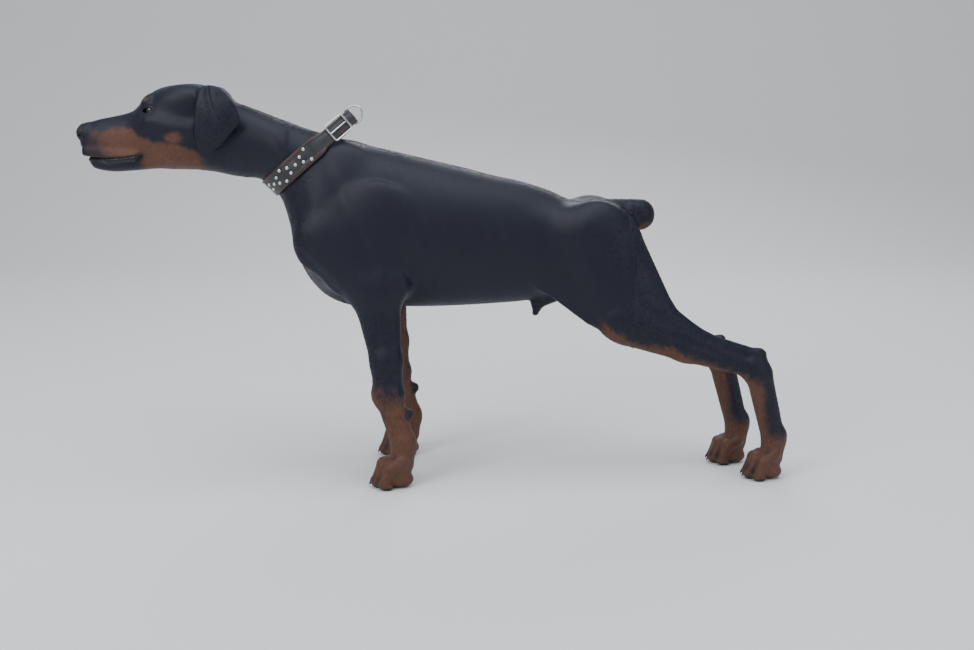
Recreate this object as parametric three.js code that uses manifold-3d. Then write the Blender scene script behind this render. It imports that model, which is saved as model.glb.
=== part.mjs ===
// A life-size standing young Doberman pinscher that stretches its head forward, wearing a studded leather collar.
// Units are millimetres. +Z is up, the nose points along -X, and the dog's left side is at -Y.
// The origin is on the floor, under the middle of the animal's overall length.
// The flesh is one smooth field, blended from sections and muscles, which planes then part into named pieces.

import * as THREE from "three";
import { mergeVertices } from "three/addons/utils/BufferGeometryUtils.js";
import Module from "manifold-3d";

const wasm = await Module();
wasm.setup();

// Driving dimensions
const LENGTH = 1208; // from the tip of the nose to the back of the left hind foot
const HEEL_X = LENGTH / 2;
const WITHERS_Z = 579;
const CHEST_HALF = 86;
const GAP = 0.3; // between pieces that touch
const LEFT = -1;
const RIGHT = 1;

const at = (x, y, z) => [x, y, z];

// Blending

// The smooth union of two distances, over a width of k
function join(a, b, k) {
  const h = Math.max(k - Math.abs(a - b), 0) / k;
  return Math.min(a, b) - (h * h * k) / 4;
}

// The smooth cut of b out of a
function carve(a, b, k) {
  return -join(-a, b, k);
}

// A tapered limb from a to b, thinned sideways by flat and thickened at its middle by belly
function limb(a, b, ra, rb, flat = 1, belly = 0) {
  const [dx, dy, dz] = [b[0] - a[0], (b[1] - a[1]) / flat, b[2] - a[2]];
  const lengthSq = dx * dx + dy * dy + dz * dz;
  return (x, y, z) => {
    const [px, py, pz] = [x - a[0], (y - a[1]) / flat, z - a[2]];
    const t = THREE.MathUtils.clamp((px * dx + py * dy + pz * dz) / lengthSq, 0, 1);
    const [vx, vy, vz] = [px - t * dx, py - t * dy, pz - t * dz];
    const away = Math.hypot(vx, vy, vz) + 1e-6;
    const radius = ra + (rb - ra) * t + belly * 4 * t * (1 - t);
    return ((away - radius) * away) / Math.hypot(vx, vy / flat, vz);
  };
}

// An ellipsoid whose long side is turned by pitch degrees in the side view
function ball(c, rx, ry, rz, pitch = 0) {
  const turn = THREE.MathUtils.degToRad(pitch);
  const [cos, sin] = [Math.cos(turn), Math.sin(turn)];
  return (x, y, z) => {
    const [px, py, pz] = [x - c[0], y - c[1], z - c[2]];
    const u = (px * cos + pz * sin) / rx;
    const v = py / ry;
    const w = (pz * cos - px * sin) / rz;
    const k0 = Math.hypot(u, v, w) + 1e-9;
    const k1 = Math.hypot(u / rx, v / ry, w / rz) + 1e-9;
    return (k0 * (k0 - 1)) / k1;
  };
}

// Smooth interpolation through rows of numbers, the first of each row being its place
function interpolate(rows) {
  const slope = (i, j) => {
    const [before, after] = [rows[Math.max(i - 1, 0)], rows[Math.min(i + 1, rows.length - 1)]];
    return (after[j] - before[j]) / (after[0] - before[0]);
  };
  return (x) => {
    const last = rows.length - 1;
    if (x <= rows[0][0]) return rows[0];
    if (x >= rows[last][0]) return rows[last];
    let i = 0;
    while (x > rows[i + 1][0]) i++;
    const width = rows[i + 1][0] - rows[i][0];
    const t = (x - rows[i][0]) / width;
    const [t2, t3] = [t * t, t * t * t];
    return rows[i].map(
      (value, j) =>
        (2 * t3 - 3 * t2 + 1) * value +
        (t3 - 2 * t2 + t) * width * slope(i, j) +
        (3 * t2 - 2 * t3) * rows[i + 1][j] +
        (t3 - t2) * width * slope(i + 1, j),
    );
  };
}

// A body swept along X through upright sections: [x, top, height of the widest line, bottom, half width]
function sweep(sections, power = 2) {
  const section = interpolate(sections);
  const [from, to] = [sections[0][0], sections[sections.length - 1][0]];
  const level = (x, y, z) => {
    const [, top, middle, bottom, half] = section(x);
    const tall = z > middle ? top - middle : middle - bottom;
    const [v, w] = [Math.abs(y) / half, Math.abs(z - middle) / tall];
    return (v ** power + w ** power) ** (1 / power);
  };
  return (x, y, z) => {
    const inside = THREE.MathUtils.clamp(x, from, to);
    const [, top, middle, bottom, half] = section(inside);
    const tall = z > middle ? top - middle : middle - bottom;
    const [v, w] = [Math.abs(y) / half, Math.abs(z - middle) / tall];
    const g = (v ** power + w ** power) ** (1 / power) + 1e-9;
    const gy = (v / g) ** (power - 1) / half;
    const gz = (w / g) ** (power - 1) / tall;
    const gx = (level(inside + 1, y, z) - level(inside - 1, y, z)) / 2;
    const side = (g - 1) / Math.hypot(gx, gy, gz);
    const beyond = Math.abs(x - inside);
    return beyond > 0 ? Math.hypot(Math.max(side, 0), beyond) : side;
  };
}

// The trunk, from behind the skull to the rump
const trunkSweep = sweep([
  [-388, 648, 592, 535, 38],
  [-350, 645, 585, 519, 42],
  [-325, 637, 580, 515, 43],
  [-300, 628, 576, 512, 44],
  [-280, 620, 572, 498, 46],
  [-262, 613, 560, 474, 50],
  [-250, 609, 540, 432, 52],
  [-243, 606, 520, 392, 53],
  [-232, 602, 500, 366, 56],
  [-215, 596, 480, 338, 61],
  [-195, 590, 465, 315, 65],
  [-160, WITHERS_Z, 450, 298, 70],
  [-125, 571, 440, 294, 75],
  [-80, 561, 430, 294, 81],
  [-20, 547, 422, 294, CHEST_HALF],
  [40, 533, 415, 296, CHEST_HALF - 1],
  [90, 520, 410, 299, 78],
  [140, 509, 405, 303, 69],
  [185, 495, 402, 310, 63],
  [225, 478, 405, 328, 61],
  [265, 471, 412, 350, 58],
  [300, 465, 418, 376, 48],
  [320, 455, 423, 396, 35],
  [330, 444, 426, 410, 16],
]);

// The skull and the upper muzzle
const skullSweep = sweep(
  [
    [-598, 596, 580, 566, 9],
    [-592, 603, 576, 559, 16],
    [-582, 608, 572, 553, 20.5],
    [-565, 613, 569, 549, 24],
    [-540, 618, 569, 547, 26],
    [-518, 623, 572, 547, 28.5],
    [-505, 629, 577, 547, 31.5],
    [-492, 642, 584, 545, 36.5],
    [-475, 657, 592, 542, 43],
    [-455, 666, 600, 538, 48],
    [-425, 670, 603, 535, 50],
    [-395, 669, 602, 535, 46],
    [-372, 663, 600, 540, 38],
    [-352, 650, 598, 548, 28],
  ],
  2.2,
);

// The lower jaw, from the chin to its angle
const jawSweep = sweep(
  [
    [-583, 546, 541, 537, 8],
    [-577, 550, 540, 530, 14],
    [-548, 552, 540, 524.5, 19],
    [-510, 554, 541, 526, 22],
    [-475, 558, 545, 529, 28],
    [-435, 566, 550, 530.5, 35],
    [-405, 575, 555, 530.5, 36],
    [-378, 576, 556, 532, 33],
    [-352, 574, 556, 536, 25],
  ],
  2.2,
);

// One side's forms have y outboard, so each side is read with y times that side.

// The head's paired forms
const headForms = [
  [ball(at(-424, 37, 578), 36, 13, 30, 20), 14], // masseter
  [limb(at(-474, 35, 610), at(-402, 43, 598), 8, 10), 16], // cheekbone
  [ball(at(-477, 21, 643), 14, 12, 9, 40), 9], // brow
  [ball(at(-412, 25, 646), 44, 22, 22), 16], // temple
  [limb(at(-586, 14, 560), at(-550, 19.5, 556), 8, 8.5), 8], // upper lip, front
  [limb(at(-550, 19.5, 556), at(-500, 25, 556), 8.5, 8), 8], // upper lip, back
];

// The head's forms on its midline
const crownForms = [
  [ball(at(-364, 0, 652), 15, 13, 13), 14], // back of the skull
  [ball(at(-587, 0, 590), 17, 19, 17), 6], // nose pad
  [ball(at(-575, 0, 549), 8, 12, 6), 4], // where the lips meet in front
];

function head(x, y, z) {
  let d = skullSweep(x, y, z);
  for (const [form, k] of headForms) d = join(d, form(x, Math.abs(y), z), k);
  for (const [form, k] of crownForms) d = join(d, form(x, y, z), k);
  return join(d, jawSweep(x, y, z), 5);
}

// Shoulder, upper arm and breast
const shoulderForms = [
  [limb(at(-150, 26, 540), at(-192, 56, 436), 28, 36, 0.55), 30],
  [limb(at(-196, 58, 404), at(-98, 66, 342), 38, 36, 0.55), 32],
  [ball(at(-124, 62, 412), 52, 19, 92, -20), 34],
  [ball(at(-194, 48, 404), 22, 22, 36), 22],
  [ball(at(-190, 20, 376), 28, 28, 40, 15), 24],
];

const ELBOW = at(-84, 75, 322);
const WRIST = at(-83, 87, 160);
const PASTERN = at(-57, 90, 70);
const FOREPAW_Y = 92;

const forelegForms = [
  [limb(at(-101, 70, 330), at(-86, 82, 215), 41, 26.5, 0.6), 18],
  [limb(ELBOW, at(-62, 76, 340), 20, 14, 0.8), 14], // point of the elbow
  [limb(at(-85, 83, 215), WRIST, 27, 26, 0.8), 12],
  [ball(WRIST, 28, 22, 21), 10],
  [limb(at(-80, 88, 148), PASTERN, 23, 21, 0.82), 12],
  [ball(at(-50, 89, 126), 10, 8, 10), 8], // stopper pad
];

// A paw whose pastern comes down at the origin of its own frame, toes towards -X
const TOE_PITCH = 15;
const TOES = [-1.5, -0.5, 0.5, 1.5];

// A toe's joints: where it leaves the foot, its knuckle and its tip, for a paw of size s
function toeJoints(place, s) {
  const back = Math.abs(place) > 1 ? 13 : 0;
  const y = place * TOE_PITCH * s;
  return {
    root: at((-8 + back * 0.3) * s, y * 0.72, 47 * s),
    knuckle: at((-36 + back) * s, y, 38 * s),
    tip: at((-47 + back) * s, y * 1.03, 11 * s),
  };
}

function pawForms(s) {
  const forms = [
    [limb(at(0, 0, 76), at(-5, 0, 40 * s), 21, 22 * s, 0.95), 8],
    [ball(at(-8 * s, 0, 13 * s), 24 * s, 21 * s, 15 * s), 10],
    [ball(at(-24 * s, 0, 24 * s), 26 * s, 27 * s, 20 * s), 10],
  ];
  for (const place of TOES) {
    const { root, knuckle, tip } = toeJoints(place, s);
    forms.push([limb(root, knuckle, 12 * s, 11.5 * s), 6]);
    forms.push([limb(knuckle, tip, 11 * s, 10.5 * s), 4]);
    forms.push([ball(at(tip[0] + 6 * s, tip[1], 6 * s), 11 * s, 7.6 * s, 8 * s), 3]);
  }
  return forms;
}

const FOREPAW_SIZE = 1;
const HINDPAW_SIZE = 0.94;
const forepawForms = pawForms(FOREPAW_SIZE);
const hindpawForms = pawForms(HINDPAW_SIZE);

// Where each paw's frame stands
const HINDPAW_Y = 45;
const RIGHT_HIND_AHEAD = 46; // the right hind foot stands this far in front of the left one
const pawPlace = {
  fore: (side) => at(PASTERN[0], side * FOREPAW_Y, 0),
  hind: (side) => at(HEEL_X - 25 - (side === RIGHT ? RIGHT_HIND_AHEAD : 0), side * HINDPAW_Y, 0),
};

// The hind leg: the right one is drawn forward from the hip down, by ahead at the hock
function hindlegForms(ahead) {
  const drawn = (x, y, z, share) => at(x - ahead * share, y, z);
  const knee = drawn(300, 64, 276, 0.5);
  const hock = drawn(536, 55, 196, 1);
  const heel = drawn(543, 55, 219, 1);
  const foot = drawn(HEEL_X - 27, 46, 68, 1);
  return [
    [ball(drawn(258, 38, 423, 0.1), 56, 26, 34), 20], // rump
    [limb(drawn(266, 40, 420, 0.1), drawn(322, 58, 300, 0.5), 62, 46, 0.52), 24],
    [limb(drawn(238, 44, 395, 0.2), drawn(297, 60, 296, 0.5), 44, 31, 0.58), 22],
    [limb(drawn(196, 50, 352, 0), drawn(262, 58, 296, 0.4), 30, 24, 0.4), 22], // flank fold
    [limb(drawn(315, 34, 408, 0.1), drawn(370, 54, 300, 0.6), 31, 27, 0.62), 18],
    [ball(knee, 27, 20, 26), 16],
    [limb(drawn(326, 62, 276, 0.55), drawn(420, 59, 238, 0.8), 40, 29, 0.6), 18],
    [limb(drawn(420, 59, 238, 0.8), drawn(526, 56, 202, 1), 29, 20, 0.7), 12],
    [limb(drawn(374, 58, 288, 0.7), drawn(446, 57, 246, 0.85), 27, 15, 0.6), 12],
    [limb(drawn(434, 57, 254, 0.85), heel, 11, 10.5, 0.75), 8],
    [limb(heel, drawn(546, 55, 184, 1), 13, 19, 0.8), 9],
    [ball(hock, 25, 20, 24), 9],
    [limb(drawn(546, 54, 184, 1), foot, 23, 20.5, 0.78), 10],
  ];
}

const hindForms = { [LEFT]: hindlegForms(0), [RIGHT]: hindlegForms(RIGHT_HIND_AHEAD) };

const tailForms = [
  [limb(at(272, 0, 452), at(341, 0, 452), 28, 27, 0.76), 14],
];
const sheathForms = [
  [limb(at(194, 0, 314), at(168, 0, 298), 15, 10), 12],
  [limb(at(170, 0, 296), at(166, 0, 282), 9, 6), 5],
];

function addForms(d, forms, x, y, z) {
  for (const [form, k] of forms) d = join(d, form(x, y, z), k);
  return d;
}

function addPaw(d, forms, [px, py], x, y, z) {
  let paw = 1e9;
  for (const [form, k] of forms) paw = join(paw, form(x - px, y - py, z), k);
  return join(d, paw, 8);
}

// One side's leg, fore or hind, with no trunk
function leg(side, x, y, z, which) {
  const forms = which === "fore" ? forelegForms : hindForms[side];
  const paw = which === "fore" ? forepawForms : hindpawForms;
  let d = addForms(1e9, forms, x, y * side, z);
  if (z < 100) d = addPaw(d, paw, pawPlace[which](side), x, y, z);
  return d;
}

// The whole skin: negative inside, and about the distance to it in mm
function body(x, y, z) {
  let d = trunkSweep(x, y, z);
  if (x < -320) d = join(d, head(x, y, z), 22);
  d = addForms(d, shoulderForms, x, Math.abs(y), z);
  d = addForms(d, tailForms, x, y, z);
  d = addForms(d, sheathForms, x, y, z);
  const side = y < 0 ? LEFT : RIGHT;
  if (x < 40) d = join(d, leg(side, x, y, z, "fore"), 24);
  else d = join(d, leg(side, x, y, z, "hind"), 22);
  return d;
}

// Surfaces from fields

const axes = [0, 1, 2];

function gradient(field, x, y, z) {
  const e = 0.2;
  return [
    (field(x + e, y, z) - field(x - e, y, z)) / (2 * e),
    (field(x, y + e, z) - field(x, y - e, z)) / (2 * e),
    (field(x, y, z + e) - field(x, y, z - e)) / (2 * e),
  ];
}

// Moves a point onto the field's zero
function settle(field, point, reach) {
  let [x, y, z] = point;
  for (let round = 0; round < 4; round++) {
    const [gx, gy, gz] = gradient(field, x, y, z);
    const d = field(x, y, z) / Math.max(gx * gx + gy * gy + gz * gz, 0.25);
    const move = THREE.MathUtils.clamp(d, -reach, reach);
    x -= move * gx;
    y -= move * gy;
    z -= move * gz;
  }
  return [x, y, z];
}

// The twelve edges of a cell, four along each axis
const cellEdges = axes.flatMap((axis) =>
  [0, 1, 2, 3].map((n) => {
    const start = [0, 0, 0];
    start[(axis + 1) % 3] = n & 1;
    start[(axis + 2) % 3] = n >> 1;
    const end = [...start];
    end[axis] = 1;
    return { start, end };
  }),
);
const cornerBit = ([x, y, z]) => 1 << (x + 2 * y + 4 * z);
const cellFaces = axes.flatMap((axis) =>
  [0, 1].map((side) =>
    cellEdges.flatMap(({ start, end }, n) => (start[axis] === side && end[axis] === side ? [n] : [])),
  ),
);

// Which sheet of surface each crossed edge of a cell belongs to, for the corners that are inside
const sheetsOf = Array.from({ length: 256 }, (_, mask) => {
  const isIn = (corner) => (mask & cornerBit(corner)) !== 0;
  const crossed = cellEdges.map(({ start, end }) => isIn(start) !== isIn(end));
  const sheet = crossed.map((yes, n) => (yes ? n : -1));
  const tie = (a, b) => {
    const [from, to] = [sheet[a], sheet[b]];
    sheet.forEach((value, n) => {
      if (value === from) sheet[n] = to;
    });
  };
  const innerEnd = ({ start, end }) => cornerBit(isIn(start) ? start : end);
  for (const face of cellFaces) {
    const cut = face.filter((n) => crossed[n]);
    if (cut.length === 2) tie(...cut);
    if (cut.length < 4) continue;
    for (const a of cut)
      for (const b of cut) if (a < b && innerEnd(cellEdges[a]) === innerEnd(cellEdges[b])) tie(a, b);
  }
  return sheet;
});

// A closed skin round a field's inside: a vertex for each sheet in a cell, and a quad at each crossed edge
function skin(field, { low, high, step }) {
  const [nx, ny, nz] = axes.map((a) => Math.ceil((high[a] - low[a]) / step[a]) + 1);
  const place = (i, j, k) => (i * ny + j) * nz + k;
  const value = new Float64Array(nx * ny * nz).fill(1);
  const isIn = (i, j, k) => value[place(i, j, k)] < 0;
  for (let i = 1; i < nx - 1; i++)
    for (let j = 1; j < ny - 1; j++)
      for (let k = 1; k < nz - 1; k++)
        value[place(i, j, k)] = field(low[0] + i * step[0], low[1] + j * step[1], low[2] + k * step[2]);

  const vertices = [];
  const vertexAt = new Map();
  const addCell = (i, j, k) => {
    let mask = 0;
    for (let n = 0; n < 8; n++) if (isIn(i + (n & 1), j + ((n >> 1) & 1), k + (n >> 2))) mask |= 1 << n;
    if (mask === 0 || mask === 255) return;
    const sheets = sheetsOf[mask];
    for (const sheet of new Set(sheets.filter((n) => n >= 0))) {
      const sum = [0, 0, 0];
      let crossings = 0;
      cellEdges.forEach(({ start, end }, n) => {
        if (sheets[n] !== sheet) return;
        const va = value[place(i + start[0], j + start[1], k + start[2])];
        const vb = value[place(i + end[0], j + end[1], k + end[2])];
        for (const a of axes) sum[a] += start[a] + ((end[a] - start[a]) * va) / (va - vb);
        vertexAt.set(place(i, j, k) * 12 + n, vertices.length);
        crossings++;
      });
      const cell = [i, j, k];
      const start = axes.map((a) => low[a] + (cell[a] + sum[a] / crossings) * step[a]);
      vertices.push(settle(field, start, Math.min(...step) * 0.25));
    }
  };
  for (let i = 0; i < nx - 1; i++)
    for (let j = 0; j < ny - 1; j++) for (let k = 0; k < nz - 1; k++) addCell(i, j, k);

  const triangles = [];
  const gapSq = (a, b) => axes.reduce((total, n) => total + (a[n] - b[n]) ** 2, 0);
  const addQuad = (i, j, k, axis) => {
    const end = [i, j, k];
    end[axis]++;
    const inside = isIn(i, j, k);
    if (inside === isIn(...end)) return;
    const ring = [0, 1, 3, 2].map((n) => {
      const cell = [i, j, k];
      cell[(axis + 1) % 3] -= n & 1;
      cell[(axis + 2) % 3] -= n >> 1;
      return vertexAt.get(place(...cell) * 12 + axis * 4 + n);
    });
    if (!inside) ring.reverse();
    const [a, b, c, d] = ring;
    const v = ring.map((index) => vertices[index]);
    if (gapSq(v[0], v[2]) <= gapSq(v[1], v[3])) triangles.push(a, b, c, a, c, d);
    else triangles.push(b, c, d, b, d, a);
  };
  for (let i = 0; i < nx - 1; i++)
    for (let j = 0; j < ny - 1; j++)
      for (let k = 0; k < nz - 1; k++) for (const axis of axes) addQuad(i, j, k, axis);
  return { vertices, triangles };
}

// Triangles turned so that their faces point out
function facingOut(vertices, triangles) {
  let volume = 0;
  for (let n = 0; n < triangles.length; n += 3) {
    const [a, b, c] = [0, 1, 2].map((m) => new THREE.Vector3(...vertices[triangles[n + m]]));
    volume += a.dot(b.cross(c));
  }
  return volume > 0 ? triangles : [...triangles].reverse();
}

function toSolid(vertices, triangles) {
  const mesh = new wasm.Mesh({
    numProp: 3,
    vertProperties: new Float32Array(vertices.flat()),
    triVerts: new Uint32Array(facingOut(vertices, triangles)),
  });
  return new wasm.Manifold(mesh);
}

function skinSolid(field, grid) {
  const { vertices, triangles } = skin(field, grid);
  return toSolid(vertices, triangles);
}

// A closed three.js geometry as a solid, with its shared vertices merged
function geometrySolid(geometry) {
  const bare = geometry.index ? geometry.toNonIndexed() : geometry.clone();
  for (const name of Object.keys(bare.attributes)) if (name !== "position") bare.deleteAttribute(name);
  const merged = mergeVertices(bare, 1e-4);
  const mesh = new wasm.Mesh({
    numProp: 3,
    vertProperties: new Float32Array(merged.attributes.position.array),
    triVerts: new Uint32Array(merged.index.array),
  });
  return new wasm.Manifold(mesh);
}

// The largest closed body of a solid
function largest(solid) {
  const parts = solid.decompose();
  return parts.reduce((best, part) => (part.volume() > best.volume() ? part : best));
}

function solidGeometry(solid) {
  const mesh = solid.getMesh();
  const geometry = new THREE.BufferGeometry();
  geometry.setAttribute("position", new THREE.BufferAttribute(new Float32Array(mesh.vertProperties), 3));
  geometry.setIndex(new THREE.BufferAttribute(new Uint32Array(mesh.triVerts), 1));
  geometry.computeVertexNormals();
  return geometry;
}

// Parting

// A half space that is kept: the side of a point that the direction faces
const half = (point, direction) => {
  const normal = new THREE.Vector3(...direction).normalize();
  return { normal, offset: normal.dot(new THREE.Vector3(...point)) + GAP / 2 };
};
const opposite = ({ normal, offset }) => ({ normal: normal.clone().negate(), offset: GAP - offset });

function trim(solid, halves) {
  for (const { normal, offset } of halves) solid = solid.trimByPlane(normal.toArray(), offset);
  return solid;
}

// The direction that faces across a line in the side view, from one of its points to another
const across = (from, to) => [from[1] - to[1], 0, to[0] - from[0]];

const floor = { normal: new THREE.Vector3(0, 0, 1), offset: 0 };
const NAPE = [-338, 660];
const THROAT = [-398, 520];
const COLLAR_LOW = [-284, 494];
const COLLAR_HIGH = [-145, 614];
const headSide = half(at(NAPE[0], 0, NAPE[1]), across(THROAT, NAPE));
const neckSide = half(at(COLLAR_LOW[0], 0, COLLAR_LOW[1]), across(COLLAR_LOW, COLLAR_HIGH));
const noseSide = half(at(-586.5, 0, 590), [-1, 0, -0.06]);
const tailSide = half(at(318, 0, 468), [0.955, 0, 0.295]);
const elbowSide = (side) => half(at(0, side * 45, 275), [0, side * 0.55, -0.84]);
const footSide = half(at(0, 0, 76), [0, 0, -1]);
const thighSide = half(at(203, 0, 304), [0.6, 0, -0.8]);
const kneeSide = (side) => half(at(side === LEFT ? 340 : 314, 0, 272), [0.94, 0, -0.35]);
const hockSide = half(at(560, 0, 172), [0, 0, -1]);

const pieces = new Map();
const keep = (name, solid, look) => pieces.set(name, { solid: largest(solid), look });

const looks = {
  coat: { color: 0x15161c, roughness: 0.5 },
  tan: { color: 0x7a4526, roughness: 0.6 },
  nose: { color: 0x0c0c0e, roughness: 0.35 },
  eye: { color: 0x2a160c, roughness: 0.08 },
  claw: { color: 0x15120f, roughness: 0.4 },
  leather: { color: 0x17161a, roughness: 0.5 },
  metal: { color: 0xc9ccd0, roughness: 0.2, metalness: 1 },
};

const sideName = { [LEFT]: "left", [RIGHT]: "right" };
const bodySolid = (low, high, step, halves) => trim(skinSolid(body, { low, high, step }), halves);
// The same for the right side's box, whose grid is mirrored for the left side
const legSolid = (side, [x, y, z], [x2, y2, z2], step, halves) => {
  const outer = y + step[1] * Math.ceil((y2 - y) / step[1]);
  const [from, to] = side === LEFT ? [-outer, -y] : [y, outer];
  return bodySolid([x, from, z], [x2, to, z2], step, halves);
};

keep("head", bodySolid([-625, -66, 505], [-310, 66, 690], [9.6, 8.6, 9.3], [headSide, opposite(noseSide)]), "coat");
keep("nose", bodySolid([-625, -33, 555], [-570, 33, 625], [6, 6, 6], [headSide, noseSide]), "nose");
keep("neck", bodySolid([-430, -80, 440], [-130, 80, 680], [17, 14, 14], [opposite(headSide), neckSide]), "coat");
keep(
  "torso",
  bodySolid([-330, -133, 220], [400, 133, 640], [36, 22, 23], [
    opposite(neckSide),
    opposite(tailSide),
    opposite(thighSide),
    opposite(elbowSide(LEFT)),
    opposite(elbowSide(RIGHT)),
  ]),
  "coat",
);
keep("tail", bodySolid([285, -49, 390], [405, 49, 515], [14, 14, 14], [tailSide, opposite(thighSide)]), "coat");
for (const side of [LEFT, RIGHT]) {
  const name = (part) => `${part}_${sideName[side]}`;
  const middle = half(at(0, 0, 0), [0, side, 0]);
  const addLeg = (part, low, high, step, halves, look) =>
    keep(name(part), legSolid(side, low, high, step, halves), look);
  const foreHalves = [elbowSide(side), opposite(footSide)];
  const hind = [thighSide, middle];
  addLeg("foreleg", [-170, 20, 40], [0, 150, 380], [12.5, 11, 22], foreHalves, "coat");
  addLeg("forepaw", [-150, 40, -20], [0, 145, 100], [10, 8.3, 11], [footSide, floor], "tan");
  addLeg("thigh", [150, -30, 190], [460, 130, 480], [19, 15, 17], [...hind, opposite(kneeSide(side))], "coat");
  addLeg(
    "shank",
    [260, -10, 140],
    [620, 110, 420],
    [20, 12, 15],
    [...hind, kneeSide(side), opposite(hockSide)],
    "coat",
  );
  addLeg("metatarsus", [430, 0, 40], [640, 100, 200], [11, 11, 22], [hockSide, middle, opposite(footSide)], "tan");
  addLeg("hindpaw", [430, 0, -20], [640, 100, 100], [10, 8.3, 11], [footSide, middle, floor], "tan");
}

// Loops of rings: quads between neighbouring rings, closed at the ends by caps or by meeting
function ringsSolid(rings, meets = false) {
  const sides = rings[0].length;
  const vertices = rings.flat();
  const triangles = [];
  const last = meets ? rings.length : rings.length - 1;
  for (let i = 0; i < last; i++)
    for (let j = 0; j < sides; j++) {
      const [a, b] = [i * sides + j, i * sides + ((j + 1) % sides)];
      const next = ((i + 1) % rings.length) * sides;
      const [c, d] = [next + ((j + 1) % sides), next + j];
      triangles.push(a, b, c, a, c, d);
    }
  if (!meets)
    for (const [start, turn] of [[0, 1], [(rings.length - 1) * sides, -1]]) {
      const middle = vertices.length;
      const ring = vertices.slice(start, start + sides);
      vertices.push(axes.map((n) => ring.reduce((sum, point) => sum + point[n], 0) / sides));
      for (let j = 0; j < sides; j++) {
        const [a, b] = [start + j, start + ((j + 1) % sides)];
        if (turn > 0) triangles.push(middle, b, a);
        else triangles.push(middle, a, b);
      }
    }
  return toSolid(vertices, triangles);
}

// A round wire along a closed run of points that lies in one plane
function wireLoop(points, up, radius, sides = 8) {
  const count = points.length;
  const rings = points.map((point, i) => {
    const along = points[(i + 1) % count].clone().sub(points[(i + count - 1) % count]).normalize();
    const out = along.clone().cross(up).normalize();
    return Array.from({ length: sides }, (_, n) => {
      const turn = (2 * Math.PI * n) / sides;
      return point
        .clone()
        .addScaledVector(out, radius * Math.cos(turn))
        .addScaledVector(up, radius * Math.sin(turn))
        .toArray();
    });
  });
  return ringsSolid(rings, true);
}

// A tapered round bar through points, with a radius at each
function bar(points, radii, sides = 6) {
  const rings = points.map((point, i) => {
    const ahead = points[Math.min(i + 1, points.length - 1)];
    const behind = points[Math.max(i - 1, 0)];
    const along = ahead.clone().sub(behind).normalize();
    const across = new THREE.Vector3(0, 1, 0).cross(along).normalize();
    const up = along.clone().cross(across);
    return Array.from({ length: sides }, (_, n) => {
      const turn = (2 * Math.PI * n) / sides;
      return point
        .clone()
        .addScaledVector(across, radii[i] * Math.cos(turn))
        .addScaledVector(up, radii[i] * Math.sin(turn))
        .toArray();
    });
  });
  return ringsSolid(rings);
}

// Eyes, each behind two lids that leave an almond open
const EYE_RADIUS = 11;
const EYE = at(-469, 24.5, 628);
const EYE_GAZE = new THREE.Vector3(-0.62, 0.78, 0.06).normalize();
const LID = 2;

function sphereSolid(center, radius, across, up) {
  const geometry = new THREE.SphereGeometry(radius, across, up);
  geometry.rotateZ(-Math.PI / 2);
  geometry.translate(...center);
  return geometrySolid(geometry);
}

for (const side of [LEFT, RIGHT]) {
  const center = at(EYE[0], EYE[1] * side, EYE[2]);
  const gaze = new THREE.Vector3(EYE_GAZE.x, EYE_GAZE.y * side, EYE_GAZE.z);
  const name = sideName[side];
  const lids = sphereSolid(center, EYE_RADIUS + LID, 10, 7);
  const socket = sphereSolid(center, EYE_RADIUS + GAP, 10, 7);
  const almond = new THREE.SphereGeometry(1, 12, 6);
  almond.scale(9.5, 5, 10);
  almond.applyQuaternion(new THREE.Quaternion().setFromUnitVectors(new THREE.Vector3(0, 0, 1), gaze));
  almond.translate(...new THREE.Vector3(...center).addScaledVector(gaze, EYE_RADIUS + 3).toArray());
  const face = pieces.get("head");
  face.solid = largest(face.solid.add(lids).subtract(geometrySolid(almond)).subtract(socket));
  keep(`eye_${name}`, sphereSolid(center, EYE_RADIUS, 10, 7), "eye");
}

// The line of the mouth: a thin slot between the lips, cut into the head on each side
const MOUTH_Z = 549.5;
const mouthShape = new THREE.Shape();
mouthShape.moveTo(-600, MOUTH_Z + 0.5);
mouthShape.quadraticCurveTo(-560, MOUTH_Z - 1.5, -498, MOUTH_Z + 5);
mouthShape.quadraticCurveTo(-560, MOUTH_Z + 0.5, -600, MOUTH_Z + 2.5);
mouthShape.closePath();
const mouthSlot = new THREE.ExtrudeGeometry(mouthShape, { depth: 12, bevelEnabled: false, curveSegments: 8 });
mouthSlot.rotateX(Math.PI / 2);
for (const side of [LEFT, RIGHT]) {
  const slot = mouthSlot.clone();
  slot.translate(0, side === LEFT ? -13 : 25, 0);
  const face = pieces.get("head");
  face.solid = largest(face.solid.subtract(geometrySolid(slot)));
}

// Nostrils
for (const side of [LEFT, RIGHT]) {
  const hole = new THREE.SphereGeometry(1, 10, 8);
  hole.scale(8, 3, 3.6);
  hole.rotateZ(side * -0.6);
  hole.translate(-602, side * 9, 590);
  const pad = pieces.get("nose");
  pad.solid = largest(pad.solid.subtract(geometrySolid(hole)));
}

// Pushes a point out along a direction until it is clear of the body
function pushClear(point, direction, clearance) {
  const moved = point.clone();
  for (let round = 0; round < 16; round++) {
    const short = clearance - body(moved.x, moved.y, moved.z);
    if (short > 0) moved.addScaledVector(direction, short);
  }
  return moved;
}

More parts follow.
